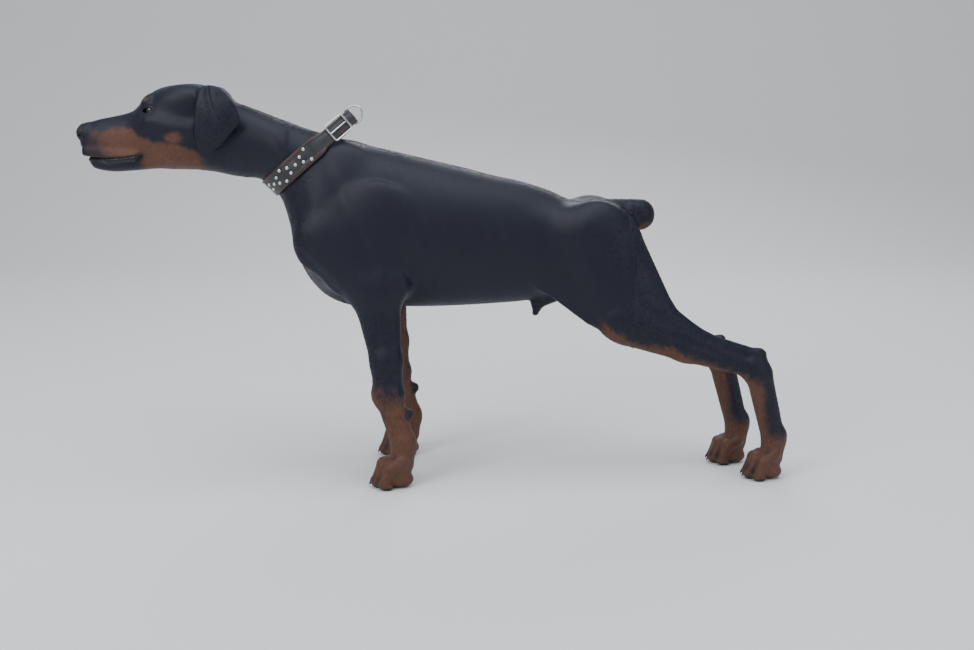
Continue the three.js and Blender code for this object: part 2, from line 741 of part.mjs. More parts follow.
// Ears: a folded leather that rises from the side of the skull, turns over and hangs
const EAR_THICK = 3;
const EAR_CLEAR = 1.2;
const earFront = new THREE.CatmullRomCurve3([
  new THREE.Vector3(-386, 36, 655),
  new THREE.Vector3(-389, 48, 654),
  new THREE.Vector3(-392, 54, 625),
  new THREE.Vector3(-391, 54, 590),
  new THREE.Vector3(-381, 50, 553),
]);
const earBack = new THREE.CatmullRomCurve3([
  new THREE.Vector3(-350, 30, 648),
  new THREE.Vector3(-341, 44, 643),
  new THREE.Vector3(-325, 54, 622),
  new THREE.Vector3(-320, 56, 597),
  new THREE.Vector3(-371, 51, 553),
]);
const EAR_ROWS = 9;
const EAR_COLUMNS = 5;

// The right ear hangs a little lower and further forward than the left one
const earSet = { [LEFT]: new THREE.Vector3(), [RIGHT]: new THREE.Vector3(-8, 0, -12) };

function earSolid(side) {
  const faces = [[], []];
  const out = new THREE.Vector3(0, 1, 0);
  for (let i = 0; i <= EAR_ROWS; i++) {
    const down = i / EAR_ROWS;
    const [front, back] = [earFront, earBack].map((edge) => edge.getPoint(down).add(earSet[side]));
    const arch = 9 * Math.sin(Math.PI * Math.min(down * 1.15, 1));
    const rows = [[], []];
    for (let j = 0; j <= EAR_COLUMNS; j++) {
      const over = j / EAR_COLUMNS;
      const middle = front.clone().lerp(back, over);
      middle.addScaledVector(out, arch * Math.sin(Math.PI * over));
      const inner = pushClear(middle, out, EAR_CLEAR);
      rows[0].push([inner.x, inner.y * side, inner.z]);
      const outer = inner.clone().addScaledVector(out, EAR_THICK);
      rows[1].push([outer.x, outer.y * side, outer.z]);
    }
    faces[0].push(rows[0]);
    faces[1].push(rows[1]);
  }
  const rings = faces[0].map((inner, i) => [...inner, ...[...faces[1][i]].reverse()]);
  return ringsSolid(rings);
}
for (const side of [LEFT, RIGHT]) keep(`ear_${sideName[side]}`, earSolid(side), "coat");

// Claws, four on each paw, each in a socket at the tip of its toe
function claw(root, radius, length) {
  const stations = [0, 0.5, 1];
  const points = stations.map((t) => {
    const bend = 0.75 * t * t;
    return new THREE.Vector3(root[0] - length * (t - bend * 0.25), root[1], root[2] - length * bend * 0.8);
  });
  return (grow) => bar(points, stations.map((t) => radius * (1 - 0.72 * t) + grow), 5);
}

for (const which of ["fore", "hind"])
  for (const side of [LEFT, RIGHT]) {
    const size = which === "fore" ? FOREPAW_SIZE : HINDPAW_SIZE;
    const [px, py] = pawPlace[which](side);
    const pawName = `${which}paw_${sideName[side]}`;
    const paw = pieces.get(pawName);
    TOES.forEach((toe, n) => {
      const { tip } = toeJoints(toe, size);
      const root = at(px + tip[0] - 4, py + tip[1], 14.5 * size);
      const make = claw(root, 4, 17);
      paw.solid = largest(paw.solid.subtract(make(GAP)));
      keep(`claw_${which}_${sideName[side]}_${n + 1}`, make(0), "claw");
    });
  }

// Collar
const loopLow = new THREE.Vector3(COLLAR_LOW[0] + 5, 0, COLLAR_LOW[1] + 6);
const loopAlong = new THREE.Vector3(COLLAR_HIGH[0] - COLLAR_LOW[0], 0, COLLAR_HIGH[1] - COLLAR_LOW[1]);
loopAlong.normalize();
const loopAcross = new THREE.Vector3(-loopAlong.z, 0, loopAlong.x); // towards the head
const LOOP_LENGTH = 180;
const STRAP_THICK = 3;
const STRAP_CLEAR = 1.4;
const WIDE_HALF = 17;
const NARROW_HALF = 12.5;

// The loop's right half, from the throat to the D-ring: [along the loop's plane, out to the side]
const loopHalf = [
  [2, 17],
  [20, 38],
  [55, 50],
  [95, 49],
  [125, 36],
  [152, 19],
  [171, 7.5],
];
const loopPoint = (along, out) => loopLow.clone().addScaledVector(loopAlong, along).setY(out);
const loopCurve = new THREE.CatmullRomCurve3(
  [
    loopPoint(-2, 0),
    ...loopHalf.map(([a, b]) => loopPoint(a, b)),
    loopPoint(LOOP_LENGTH, 0),
    ...[...loopHalf].reverse().map(([a, b]) => loopPoint(a, -b)),
  ],
  true,
);
const STRAP_STEPS = 44;
const LOOP_TURN = loopCurve.getLength();

// A place on the strap: distance round the loop from the throat, distance across, height over its inner face
function strapPoint(around, across, height) {
  const share = THREE.MathUtils.euclideanModulo(around / LOOP_TURN, 1);
  const point = loopCurve.getPointAt(share);
  const forward = loopCurve.getTangentAt(share);
  const out = forward.clone().cross(loopAcross).normalize();
  if (out.dot(point.clone().sub(loopPoint(LOOP_LENGTH * 0.4, 0))) < 0) out.negate();
  const edge = pushClear(point.clone().addScaledVector(loopAcross, across), out, STRAP_CLEAR);
  return { point: edge.addScaledVector(out, height), out, forward };
}

function strapHalfWidth(around) {
  const fromTop = Math.abs(Math.abs(around) - LOOP_TURN / 2);
  return THREE.MathUtils.lerp(NARROW_HALF, WIDE_HALF, THREE.MathUtils.smoothstep(fromTop, 62, 92));
}

const strapRings = [];
for (let i = 0; i < STRAP_STEPS; i++) {
  const around = (i / STRAP_STEPS - 0.5) * LOOP_TURN;
  const reach = strapHalfWidth(around);
  const inner = [-1, 0, 1].map((s) => strapPoint(around, s * reach, 0).point.toArray());
  const outer = [1, 0, -1].map((s) => strapPoint(around, s * reach, STRAP_THICK).point.toArray());
  strapRings.push([...inner, ...outer]);
}
let strap = ringsSolid(strapRings, true);

// Studs in two zigzags that cross
const STUD_STEP = 12.9;
const STUD_ROW = 10.5;
const STUD_RADIUS = 3;
const STUD_COUNT = 9; // steps each way from the throat
const domeProfile = [
  [0, -1.2],
  [STUD_RADIUS, -1.2],
  [STUD_RADIUS * 0.8, 1.2],
  [0, 2.1],
].map(([r, h]) => new THREE.Vector2(r, h));
const dome = new THREE.LatheGeometry(domeProfile, 5);
for (let i = -STUD_COUNT; i <= STUD_COUNT; i++) {
  const phase = THREE.MathUtils.euclideanModulo(i + 1, 8);
  const zigzag = 1 - Math.abs(4 - phase) / 2;
  const crossing = zigzag === 0;
  for (const row of crossing ? [0] : [zigzag, -zigzag]) {
    const { point, out } = strapPoint(i * STUD_STEP, row * STUD_ROW, STRAP_THICK);
    const stud = dome.clone();
    stud.applyQuaternion(new THREE.Quaternion().setFromUnitVectors(new THREE.Vector3(0, 1, 0), out));
    stud.translate(...point.toArray());
    strap = strap.add(geometrySolid(stud));
  }
}
keep("collar_strap", strap, "leather");

// D-ring: its bar lies inside the strap's fold, and its bow stands towards where a lead would pull
const RING_WIRE = 1.7;
const RING_HALF = 15;
const foldInner = loopPoint(LOOP_LENGTH, 0).addScaledVector(loopAlong, -RING_WIRE - 3.4);
const ringPoints = [];
const RING_ARC = 14;
for (let i = 0; i <= RING_ARC; i++) {
  const turn = (Math.PI * i) / RING_ARC;
  const out = 4 + 20 * Math.sin(turn);
  ringPoints.push(
    foldInner.clone().addScaledVector(loopAcross, RING_HALF * Math.cos(turn)).addScaledVector(loopAlong, out),
  );
}
for (const s of [-1, 1]) ringPoints.push(foldInner.clone().addScaledVector(loopAcross, s * (RING_HALF - 2.5)));
keep("collar_d_ring", wireLoop(ringPoints, new THREE.Vector3(0, 1, 0), RING_WIRE), "metal");

// Buckle: a rounded frame flat on the strap, left of the fold, with a prong across it
const FRAME_WIRE = 1.6;
const FRAME_LONG = 19;
const FRAME_WIDE = 15;
const buckleAround = -(LOOP_TURN / 2 - 36);
const seat = strapPoint(buckleAround, 0, STRAP_THICK + FRAME_WIRE + 0.5);
const framePoint = (long, wide, lift = 0) =>
  seat.point
    .clone()
    .addScaledVector(seat.forward, long)
    .addScaledVector(loopAcross, wide)
    .addScaledVector(seat.out, lift);
const framePoints = [];
const CORNER = 4;
for (const [cx, cy, from] of [[1, 1, 0], [-1, 1, 1], [-1, -1, 2], [1, -1, 3]])
  for (const n of [0, 1, 2]) {
    const turn = (Math.PI / 2) * (from + n / 2);
    const long = cx * (FRAME_LONG - CORNER) + CORNER * Math.cos(turn);
    const wide = cy * (FRAME_WIDE - CORNER) + CORNER * Math.sin(turn);
    framePoints.push(framePoint(long, wide));
  }
const PRONG_WIRE = 1.3;
const prongPoints = [FRAME_LONG, FRAME_LONG / 2, -FRAME_LONG].map((long) => framePoint(long, 0, long < 0 ? 1.5 : 0));
const prongUp = seat.forward.clone().cross(loopAcross).normalize();
const prongRings = prongPoints.map((point) =>
  Array.from({ length: 6 }, (_, n) => {
    const turn = (2 * Math.PI * n) / 6;
    return point
      .clone()
      .addScaledVector(loopAcross, PRONG_WIRE * Math.cos(turn))
      .addScaledVector(prongUp, PRONG_WIRE * Math.sin(turn))
      .toArray();
  }),
);
keep("collar_buckle", wireLoop(framePoints, seat.out, FRAME_WIRE).add(ringsSolid(prongRings)), "metal");

// The prepuce: what hangs below the belly in a small box, on a finer grid
const prepuceBox = new THREE.Box3(new THREE.Vector3(120, -30, 262), new THREE.Vector3(212, 30, 301));
const boxSolid = (box, grow) => {
  const size = box.getSize(new THREE.Vector3()).addScalar(2 * grow);
  const geometry = new THREE.BoxGeometry(size.x, size.y, size.z);
  geometry.translate(...box.getCenter(new THREE.Vector3()).toArray());
  return geometrySolid(geometry);
};
const torso = pieces.get("torso");
torso.solid = largest(torso.solid.subtract(boxSolid(prepuceBox, GAP / 2)));
const prepuceGrid = { low: [105, -35, 260], high: [230, 35, 330], step: [9, 7, 7] };
keep("prepuce", skinSolid(body, prepuceGrid).intersect(boxSolid(prepuceBox, -GAP / 2)), "coat");

const animal = new THREE.Group();
const extent = new THREE.Box3();
for (const [name, { solid, look }] of pieces) {
  const mesh = new THREE.Mesh(solidGeometry(solid), new THREE.MeshStandardMaterial(looks[look]));
  mesh.name = name;
  animal.add(mesh);
  extent.expandByObject(mesh);
}

// The origin goes to the floor under the middle of the animal's extent
const middle = extent.getCenter(new THREE.Vector3());
animal.position.set(-middle.x, -middle.y, -extent.min.z);

export default animal;
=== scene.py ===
import math

import bmesh
import bpy
import numpy as np
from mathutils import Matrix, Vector
from mathutils.bvhtree import BVHTree
from mathutils.geometry import barycentric_transform


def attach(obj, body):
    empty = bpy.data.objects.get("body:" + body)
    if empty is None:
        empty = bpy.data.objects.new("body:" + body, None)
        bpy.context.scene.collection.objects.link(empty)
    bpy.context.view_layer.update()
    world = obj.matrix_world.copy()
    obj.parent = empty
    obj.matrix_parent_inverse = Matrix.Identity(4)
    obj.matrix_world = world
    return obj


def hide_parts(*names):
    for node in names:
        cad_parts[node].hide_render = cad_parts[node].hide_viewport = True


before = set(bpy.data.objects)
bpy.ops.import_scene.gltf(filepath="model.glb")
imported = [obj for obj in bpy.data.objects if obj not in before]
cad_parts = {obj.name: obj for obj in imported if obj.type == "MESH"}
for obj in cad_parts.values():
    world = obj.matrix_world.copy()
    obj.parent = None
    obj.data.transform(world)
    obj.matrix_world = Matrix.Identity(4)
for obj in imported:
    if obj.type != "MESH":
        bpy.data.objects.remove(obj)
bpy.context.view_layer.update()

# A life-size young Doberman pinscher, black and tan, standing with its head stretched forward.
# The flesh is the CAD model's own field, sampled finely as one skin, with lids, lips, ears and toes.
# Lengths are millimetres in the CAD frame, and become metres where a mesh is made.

MM = 0.001
UP = np.array([0.0, 0.0, 1.0])

# Driving dimensions, as in the CAD model

LENGTH = 1208
HEEL_X = LENGTH / 2
WITHERS_Z = 579
CHEST_HALF = 86
LEFT, RIGHT = -1, 1
SIDES = {"left": LEFT, "right": RIGHT}
ELBOW = (-84, 75, 322)
WRIST = (-83, 87, 160)
PASTERN = (-57, 90, 70)
FOREPAW_Y = 92
HINDPAW_Y = 45
FOREPAW_SIZE = 1
HINDPAW_SIZE = 0.94
RIGHT_HIND_AHEAD = 46

# Where the forms part, and how deep the skin lies

BETWEEN_LEGS = 40  # the x that parts the fore and the hind quarters
HEAD_END = -320  # the head's forms reach back to here
COAT = 0.8  # how far the skin lies inside the CAD flesh


# Blending of distance fields

def join(a, b, k):
    """The smooth union of two distances, over a width of k."""
    h = np.maximum(k - np.abs(a - b), 0) / k
    return np.minimum(a, b) - h * h * k / 4


def carve(a, b, k):
    """The smooth cut of b out of a."""
    return -join(-a, b, k)


def limb(a, b, ra, rb, flat=1.0):
    """A tapered limb from a to b, thinned sideways by flat."""
    dx, dy, dz = b[0] - a[0], (b[1] - a[1]) / flat, b[2] - a[2]
    length_sq = dx * dx + dy * dy + dz * dz

    def field(x, y, z):
        px, py, pz = x - a[0], (y - a[1]) / flat, z - a[2]
        t = np.clip((px * dx + py * dy + pz * dz) / length_sq, 0, 1)
        vx, vy, vz = px - t * dx, py - t * dy, pz - t * dz
        away = np.sqrt(vx * vx + vy * vy + vz * vz) + 1e-6
        return (away - ra - (rb - ra) * t) * away / np.sqrt(vx * vx + vy * vy / flat**2 + vz * vz + 1e-9)

    return field


def ball(c, rx, ry, rz, pitch=0.0):
    """An ellipsoid whose long side is turned by pitch degrees in the side view."""
    turn = math.radians(pitch)
    cos, sin = math.cos(turn), math.sin(turn)

    def field(x, y, z):
        px, py, pz = x - c[0], y - c[1], z - c[2]
        u = (px * cos + pz * sin) / rx
        v = py / ry
        w = (pz * cos - px * sin) / rz
        k0 = np.sqrt(u * u + v * v + w * w) + 1e-9
        k1 = np.sqrt((u / rx) ** 2 + (v / ry) ** 2 + (w / rz) ** 2) + 1e-9
        return k0 * (k0 - 1) / k1

    return field


def interpolate(rows):
    """Smooth interpolation through rows of numbers, the first of each row being its place."""
    table = np.array(rows, float)
    before = np.vstack([table[:1], table[:-1]])
    after = np.vstack([table[1:], table[-1:]])
    slopes = (after - before) / (after[:, :1] - before[:, :1])

    def at(x):
        inside = np.clip(x, table[0, 0], table[-1, 0])
        i = np.clip(np.searchsorted(table[:, 0], inside, side="right") - 1, 0, len(table) - 2)
        width = table[i + 1, 0] - table[i, 0]
        t = (inside - table[i, 0]) / width
        t2, t3 = t * t, t * t * t
        blend = (2 * t3 - 3 * t2 + 1, (t3 - 2 * t2 + t) * width, 3 * t2 - 2 * t3, (t3 - t2) * width)
        return [
            blend[0] * table[i, j] + blend[1] * slopes[i, j]
            + blend[2] * table[i + 1, j] + blend[3] * slopes[i + 1, j]
            for j in range(1, table.shape[1])
        ]

    return at


def sweep(sections, power=2.0):
    """A body swept along X through sections of x, top, height of the widest line, bottom and half width."""
    section = interpolate(sections)
    start, end = sections[0][0], sections[-1][0]

    def reach(x, y, z):
        top, middle, bottom, half = section(x)
        tall = np.where(z > middle, top - middle, middle - bottom)
        return np.abs(y) / half, np.abs(z - middle) / tall, half, tall

    def level(x, y, z):
        v, w, _, _ = reach(x, y, z)
        return (v**power + w**power) ** (1 / power)

    def field(x, y, z):
        inside = np.clip(x, start, end)
        v, w, half, tall = reach(inside, y, z)
        g = (v**power + w**power) ** (1 / power) + 1e-9
        gy = (v / g) ** (power - 1) / half
        gz = (w / g) ** (power - 1) / tall
        gx = (level(inside + 1, y, z) - level(inside - 1, y, z)) / 2
        side = (g - 1) / np.sqrt(gx * gx + gy * gy + gz * gz)
        beyond = np.abs(x - inside)
        return np.where(beyond > 0, np.hypot(np.maximum(side, 0), beyond), side)

    return field


def smooth(x, low, high):
    """0 below low, 1 above high, and a smooth step between."""
    t = np.clip((x - low) / (high - low), 0, 1)
    return t * t * (3 - 2 * t)


def shade(x, low, high):
    """1 below low, 0 above high, and a smooth step between."""
    return 1 - smooth(x, low, high)


def swell(x, middle, width):
    """1 at the middle, falling away over the width to both sides."""
    return np.exp(-(((x - middle) / width) ** 2))


def unit(v):
    """A direction, or rows of them, of length 1."""
    return v / np.linalg.norm(v, axis=-1, keepdims=True)


# The flesh, form by form, as in the CAD model: each form with the width of its join

trunk_sweep = sweep([
    [-388, 648, 592, 535, 38],
    [-350, 645, 585, 519, 42],
    [-325, 637, 580, 515, 43],
    [-300, 628, 576, 512, 44],
    [-280, 620, 572, 498, 46],
    [-262, 613, 560, 474, 50],
    [-250, 609, 540, 432, 52],
    [-243, 606, 520, 392, 53],
    [-232, 602, 500, 366, 56],
    [-215, 596, 480, 338, 61],
    [-195, 590, 465, 315, 65],
    [-160, WITHERS_Z, 450, 298, 70],
    [-125, 571, 440, 294, 75],
    [-80, 561, 430, 294, 81],
    [-20, 547, 422, 294, CHEST_HALF],
    [40, 533, 415, 296, CHEST_HALF - 1],
    [90, 520, 410, 299, 78],
    [140, 509, 405, 303, 69],
    [185, 495, 402, 310, 63],
    [225, 478, 405, 328, 61],
    [265, 471, 412, 350, 58],
    [300, 465, 418, 376, 48],
    [320, 455, 423, 396, 35],
    [330, 444, 426, 410, 16],
])

skull_sweep = sweep([
    [-598, 596, 580, 566, 9],
    [-592, 603, 576, 559, 16],
    [-582, 608, 572, 553, 20.5],
    [-565, 613, 569, 549, 24],
    [-540, 618, 569, 547, 26],
    [-518, 623, 572, 547, 28.5],
    [-505, 629, 577, 547, 31.5],
    [-492, 642, 584, 545, 36.5],
    [-475, 657, 592, 542, 43],
    [-455, 666, 600, 538, 48],
    [-425, 670, 603, 535, 50],
    [-395, 669, 602, 535, 46],
    [-372, 663, 600, 540, 38],
    [-352, 650, 598, 548, 28],
], 2.2)

jaw_sweep = sweep([
    [-583, 546, 541, 537, 8],
    [-577, 550, 540, 530, 14],
    [-548, 552, 540, 524.5, 19],
    [-510, 554, 541, 526, 22],
    [-475, 558, 545, 529, 28],
    [-435, 566, 550, 530.5, 35],
    [-405, 575, 555, 530.5, 36],
    [-378, 576, 556, 532, 33],
    [-352, 574, 556, 536, 25],
], 2.2)

head_forms = [
    (ball((-424, 37, 578), 36, 13, 30, 20), 14),
    (limb((-474, 35, 610), (-402, 43, 598), 8, 10), 16),
    (ball((-477, 21, 643), 14, 12, 9, 40), 9),
    (ball((-412, 25, 646), 44, 22, 22), 16),
    (limb((-586, 14, 560), (-550, 19.5, 556), 8, 8.5), 8),
    (limb((-550, 19.5, 556), (-500, 25, 556), 8.5, 8), 8),
]
crown_forms = [
    (ball((-364, 0, 652), 15, 13, 13), 14),
    (ball((-587, 0, 590), 17, 19, 17), 6),
    (ball((-575, 0, 549), 8, 12, 6), 4),
]
shoulder_forms = [
    (limb((-150, 26, 540), (-192, 56, 436), 28, 36, 0.55), 30),
    (limb((-196, 58, 404), (-98, 66, 342), 38, 36, 0.55), 32),
    (ball((-124, 62, 412), 52, 19, 92, -20), 34),
    (ball((-194, 48, 404), 22, 22, 36), 22),
    (ball((-190, 20, 376), 28, 28, 40, 15), 24),
]
foreleg_forms = [
    (limb((-101, 70, 330), (-86, 82, 215), 41, 26.5, 0.6), 18),
    (limb(ELBOW, (-62, 76, 340), 20, 14, 0.8), 14),
    (limb((-85, 83, 215), WRIST, 27, 26, 0.8), 12),
    (ball(WRIST, 28, 22, 21), 10),
    (limb((-80, 88, 148), PASTERN, 23, 21, 0.82), 12),
    (ball((-50, 89, 126), 10, 8, 10), 8),
]
tail_forms = [(limb((272, 0, 452), (341, 0, 452), 28, 27, 0.76), 14)]
sheath_forms = [
    (limb((194, 0, 314), (168, 0, 298), 15, 10), 12),
    (limb((170, 0, 296), (166, 0, 282), 9, 6), 5),
]

PAW_TOP = 100
TOE_PITCH = 15
TOES = (-1.5, -0.5, 0.5, 1.5)


def toe_joints(place, s):
    """A toe's root, knuckle and tip, in the frame of a paw of size s."""
    back = 13 if abs(place) > 1 else 0
    y = place * TOE_PITCH * s
    root = ((-8 + back * 0.3) * s, y * 0.72, 47 * s)
    knuckle = ((-36 + back) * s, y, 38 * s)
    tip = ((-47 + back) * s, y * 1.03, 11 * s)
    return root, knuckle, tip


def paw_forms(s):
    forms = [
        (limb((0, 0, 76), (-5, 0, 40 * s), 21, 22 * s, 0.95), 8),
        (ball((-8 * s, 0, 13 * s), 24 * s, 21 * s, 15 * s), 10),
        (ball((-24 * s, 0, 24 * s), 26 * s, 27 * s, 20 * s), 10),
    ]
    for place in TOES:
        root, knuckle, tip = toe_joints(place, s)
        forms.append((limb(root, knuckle, 12 * s, 11.5 * s), 6))
        forms.append((limb(knuckle, tip, 11 * s, 10.5 * s), 4))
        forms.append((ball((tip[0] + 6 * s, tip[1], 6 * s), 11 * s, 7.6 * s, 8 * s), 3))
    return forms


PAW_FORMS = {"fore": paw_forms(FOREPAW_SIZE), "hind": paw_forms(HINDPAW_SIZE)}
PAW_SIZE = {"fore": FOREPAW_SIZE, "hind": HINDPAW_SIZE}


def paw_place(which, side):
    if which == "fore":
        return PASTERN[0], side * FOREPAW_Y
    return HEEL_X - 25 - (RIGHT_HIND_AHEAD if side == RIGHT else 0), side * HINDPAW_Y


def hindleg_forms(ahead):
    """The hind leg, drawn forward from the hip down by ahead at the hock."""
    def drawn(x, y, z, share):
        return x - ahead * share, y, z

    knee = drawn(300, 64, 276, 0.5)
    hock = drawn(536, 55, 196, 1)
    heel = drawn(543, 55, 219, 1)
    foot = drawn(HEEL_X - 27, 46, 68, 1)
    return [
        (ball(drawn(258, 38, 423, 0.1), 56, 26, 34), 20),
        (limb(drawn(266, 40, 420, 0.1), drawn(322, 58, 300, 0.5), 62, 46, 0.52), 24),
        (limb(drawn(238, 44, 395, 0.2), drawn(297, 60, 296, 0.5), 44, 31, 0.58), 22),
        (limb(drawn(196, 50, 352, 0), drawn(262, 58, 296, 0.4), 30, 24, 0.4), 22),
        (limb(drawn(315, 34, 408, 0.1), drawn(370, 54, 300, 0.6), 31, 27, 0.62), 18),
        (ball(knee, 27, 20, 26), 16),
        (limb(drawn(326, 62, 276, 0.55), drawn(420, 59, 238, 0.8), 40, 29, 0.6), 18),
        (limb(drawn(420, 59, 238, 0.8), drawn(526, 56, 202, 1), 29, 20, 0.7), 12),
        (limb(drawn(374, 58, 288, 0.7), drawn(446, 57, 246, 0.85), 27, 15, 0.6), 12),
        (limb(drawn(434, 57, 254, 0.85), heel, 11, 10.5, 0.75), 8),
        (limb(heel, drawn(546, 55, 184, 1), 13, 19, 0.8), 9),
        (ball(hock, 25, 20, 24), 9),
        (limb(drawn(546, 54, 184, 1), foot, 23, 20.5, 0.78), 10),
    ]


HIND_FORMS = {LEFT: hindleg_forms(0), RIGHT: hindleg_forms(RIGHT_HIND_AHEAD)}


def add_forms(d, forms, x, y, z):
    for form, k in forms:
        d = join(d, form(x, y, z), k)
    return d


def head(x, y, z):
    d = skull_sweep(x, y, z)
    d = add_forms(d, head_forms, x, np.abs(y), z)
    d = add_forms(d, crown_forms, x, y, z)
    behind_lips = smooth(x, -500, -440)  # where the join is softer than the CAD model's
    return join(d, jaw_sweep(x, y, z), 5 + 13 * behind_lips)


def far(x):
    return np.full(np.shape(x), 1e3)


def where(mask, field, x, y, z):
    """A field where mask holds, and far away elsewhere."""
    d = far(x)
    if mask.any():
        d[mask] = field(x[mask], y[mask], z[mask])
    return d


def leg(side, which):
    forms = foreleg_forms if which == "fore" else HIND_FORMS[side]
    px, py = paw_place(which, side)

    def paw(x, y, z):
        return add_forms(far(x), PAW_FORMS[which], x - px, y - py, z)

    def field(x, y, z):
        d = add_forms(far(x), forms, x, y * side, z)
        return join(d, where(z < PAW_TOP, paw, x, y, z), 8)

    return field


def legs(x, y, z):
    d = far(x)
    for side in SIDES.values():
        for which in ("fore", "hind"):
            part = (y * side >= 0) & ((x < BETWEEN_LEGS) == (which == "fore"))
            d = np.minimum(d, where(part, leg(side, which), x, y, z))
    return d


def flesh(x, y, z):
    """The CAD model's skin, softer along the jaw: negative inside, and about the distance to it."""
    d = trunk_sweep(x, y, z)
    d = join(d, where(x < HEAD_END, head, x, y, z), 22)
    d = add_forms(d, shoulder_forms, x, np.abs(y), z)
    d = add_forms(d, tail_forms + sheath_forms, x, y, z)
    return join(d, legs(x, y, z), np.where(x < BETWEEN_LEGS, 24, 22))


# Noise, and surfaces from fields

def lattice(i, j, k, seed):
    """A repeatable value from 0 to 1 for each whole-number place."""
    h = (i * 374761393 + j * 668265263 + k * 2147483647 + seed * 1274126177) & 0xFFFFFFFF
    h = ((h ^ (h >> 13)) * 1274126177) & 0xFFFFFFFF
    return ((h ^ (h >> 16)) & 0xFFFF) / 65535


def noise(x, y, z, size, seed=0):
    """Smooth noise from -1 to 1 with features of the given size."""
    p = [np.asarray(a, float) / size for a in (x, y, z)]
    base = [np.floor(a).astype(np.int64) for a in p]
    f = [smooth(a - b, 0, 1) for a, b in zip(p, base)]
    total = 0.0
    for n in range(8):
        bits = (n & 1, n >> 1 & 1, n >> 2)
        weight = 1.0
        for a in range(3):
            weight = weight * (f[a] if bits[a] else 1 - f[a])
        total = total + weight * lattice(*(b + bit for b, bit in zip(base, bits)), seed)
    return total * 2 - 1


CHUNK = 40000  # points worked out at a time
BLOCK = 8  # grid lines in a block, which is worked out only where it is near the surface
NEAR = 4.0  # how far beyond its own reach a block is still worked out
STEEPEST = 1.3  # how fast a field may change with distance
SETTLE = 0.4  # how far a point may move onto the surface
FLATTEST = 0.25  # the least slope squared that such a move is divided by


def evaluate(field, x, y, z):
    out = np.empty(len(x))
    for start in range(0, len(x), CHUNK):
        part = slice(start, start + CHUNK)
        out[part] = field(x[part], y[part], z[part])
    return out


def grid_lines(start, rows):
    """Grid lines from a start, each row giving where it ends and the step up to it."""
    lines = [start]
    for end, step in rows:
        count = max(1, round((end - lines[-1]) / step))
        lines.extend(np.linspace(lines[-1], end, count + 1)[1:])
    while len(lines) % BLOCK:
        lines.append(lines[-1] + rows[-1][1])
    return np.array(lines)


def gradient(field, x, y, z, e=0.25):
    """The field's slope at each point."""
    return np.stack([
        evaluate(field, x + e, y, z) - evaluate(field, x - e, y, z),
        evaluate(field, x, y + e, z) - evaluate(field, x, y - e, z),
        evaluate(field, x, y, z + e) - evaluate(field, x, y, z - e),
    ], 1) / (2 * e)


def nets(field, lines):
    """A closed skin round a field's inside, as corner points and quads."""
    counts = [len(a) // BLOCK for a in lines]
    blocks = [a.reshape(-1, BLOCK) for a in lines]
    mids = np.meshgrid(*(b.mean(1) for b in blocks), indexing="ij")
    spans = np.meshgrid(*(np.ptp(b, axis=1) * (BLOCK + 1) / BLOCK / 2 for b in blocks), indexing="ij")
    radius = np.sqrt(sum(s * s for s in spans))
    middle = evaluate(field, *(m.ravel() for m in mids)).reshape(counts)
    values = np.where(middle < 0, -1e3, 1e3).astype(np.float32)
    for axis in range(3):
        values = np.repeat(values, BLOCK, axis)
    near = (np.abs(middle) < radius * STEEPEST + NEAR).nonzero()
    steps = np.arange(BLOCK)
    places = [n[:, None] * BLOCK + steps for n in near]
    places = [places[0][:, :, None, None], places[1][:, None, :, None], places[2][:, None, None, :]]
    places = [np.broadcast_to(p, (len(near[0]), BLOCK, BLOCK, BLOCK)).ravel() for p in places]
    values[tuple(places)] = evaluate(field, *(line[p] for line, p in zip(lines, places)))

    inside = values < 0
    total = np.zeros([n - 1 for n in inside.shape], np.int8)
    for n in range(8):
        corner = tuple(slice(n >> a & 1, inside.shape[a] - 1 + (n >> a & 1)) for a in range(3))
        total += inside[corner]
    cells = ((total > 0) & (total < 8)).nonzero()
    index = np.full(total.shape, -1, np.int32)
    index[cells] = np.arange(len(cells[0]))

    share = np.zeros((len(cells[0]), 3))
    crossings = np.zeros(len(cells[0]))
    for axis in range(3):
        for n in range(4):
            start = [0, 0, 0]
            start[(axis + 1) % 3] = n & 1
            start[(axis + 2) % 3] = n >> 1
            end = list(start)
            end[axis] = 1
            va, vb = (values[tuple(c + s for c, s in zip(cells, corner))] for corner in (start, end))
            cut = (va < 0) != (vb < 0)
            t = np.where(cut, va / np.where(cut, va - vb, 1), 0)
            for a in range(3):
                share[:, a] += np.where(cut, start[a] + (t if a == axis else 0), 0)
            crossings += cut
    share /= crossings[:, None]
    points = np.stack([
        line[c] + (line[c + 1] - line[c]) * share[:, a]
        for a, (line, c) in enumerate(zip(lines, cells))
    ], 1)
    slope = gradient(field, *points.T)
    move = evaluate(field, *points.T) / np.maximum((slope * slope).sum(1), FLATTEST)
    points -= np.clip(move, -SETTLE, SETTLE)[:, None] * slope

    quads = []
    for axis in range(3):
        first = inside.take(range(inside.shape[axis] - 1), axis)
        second = inside.take(range(1, inside.shape[axis]), axis)
        edges = (first != second).nonzero()
        ring = []
        for n in (0, 1, 3, 2):
            cell = list(edges)
            cell[(axis + 1) % 3] = cell[(axis + 1) % 3] - (n & 1)
            cell[(axis + 2) % 3] = cell[(axis + 2) % 3] - (n >> 1)
            ring.append(index[tuple(cell)])
        ring = np.stack(ring, 1)
        quads.append(np.where(first[edges][:, None], ring, ring[:, ::-1]))
    return points, np.concatenate(quads)


SHIFT = np.array([1.62, 0.0, 0.0])  # from the field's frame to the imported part's


def add_object(name, mesh):
    piece = bpy.data.objects.new(name, mesh)
    bpy.context.scene.collection.objects.link(piece)
    return piece


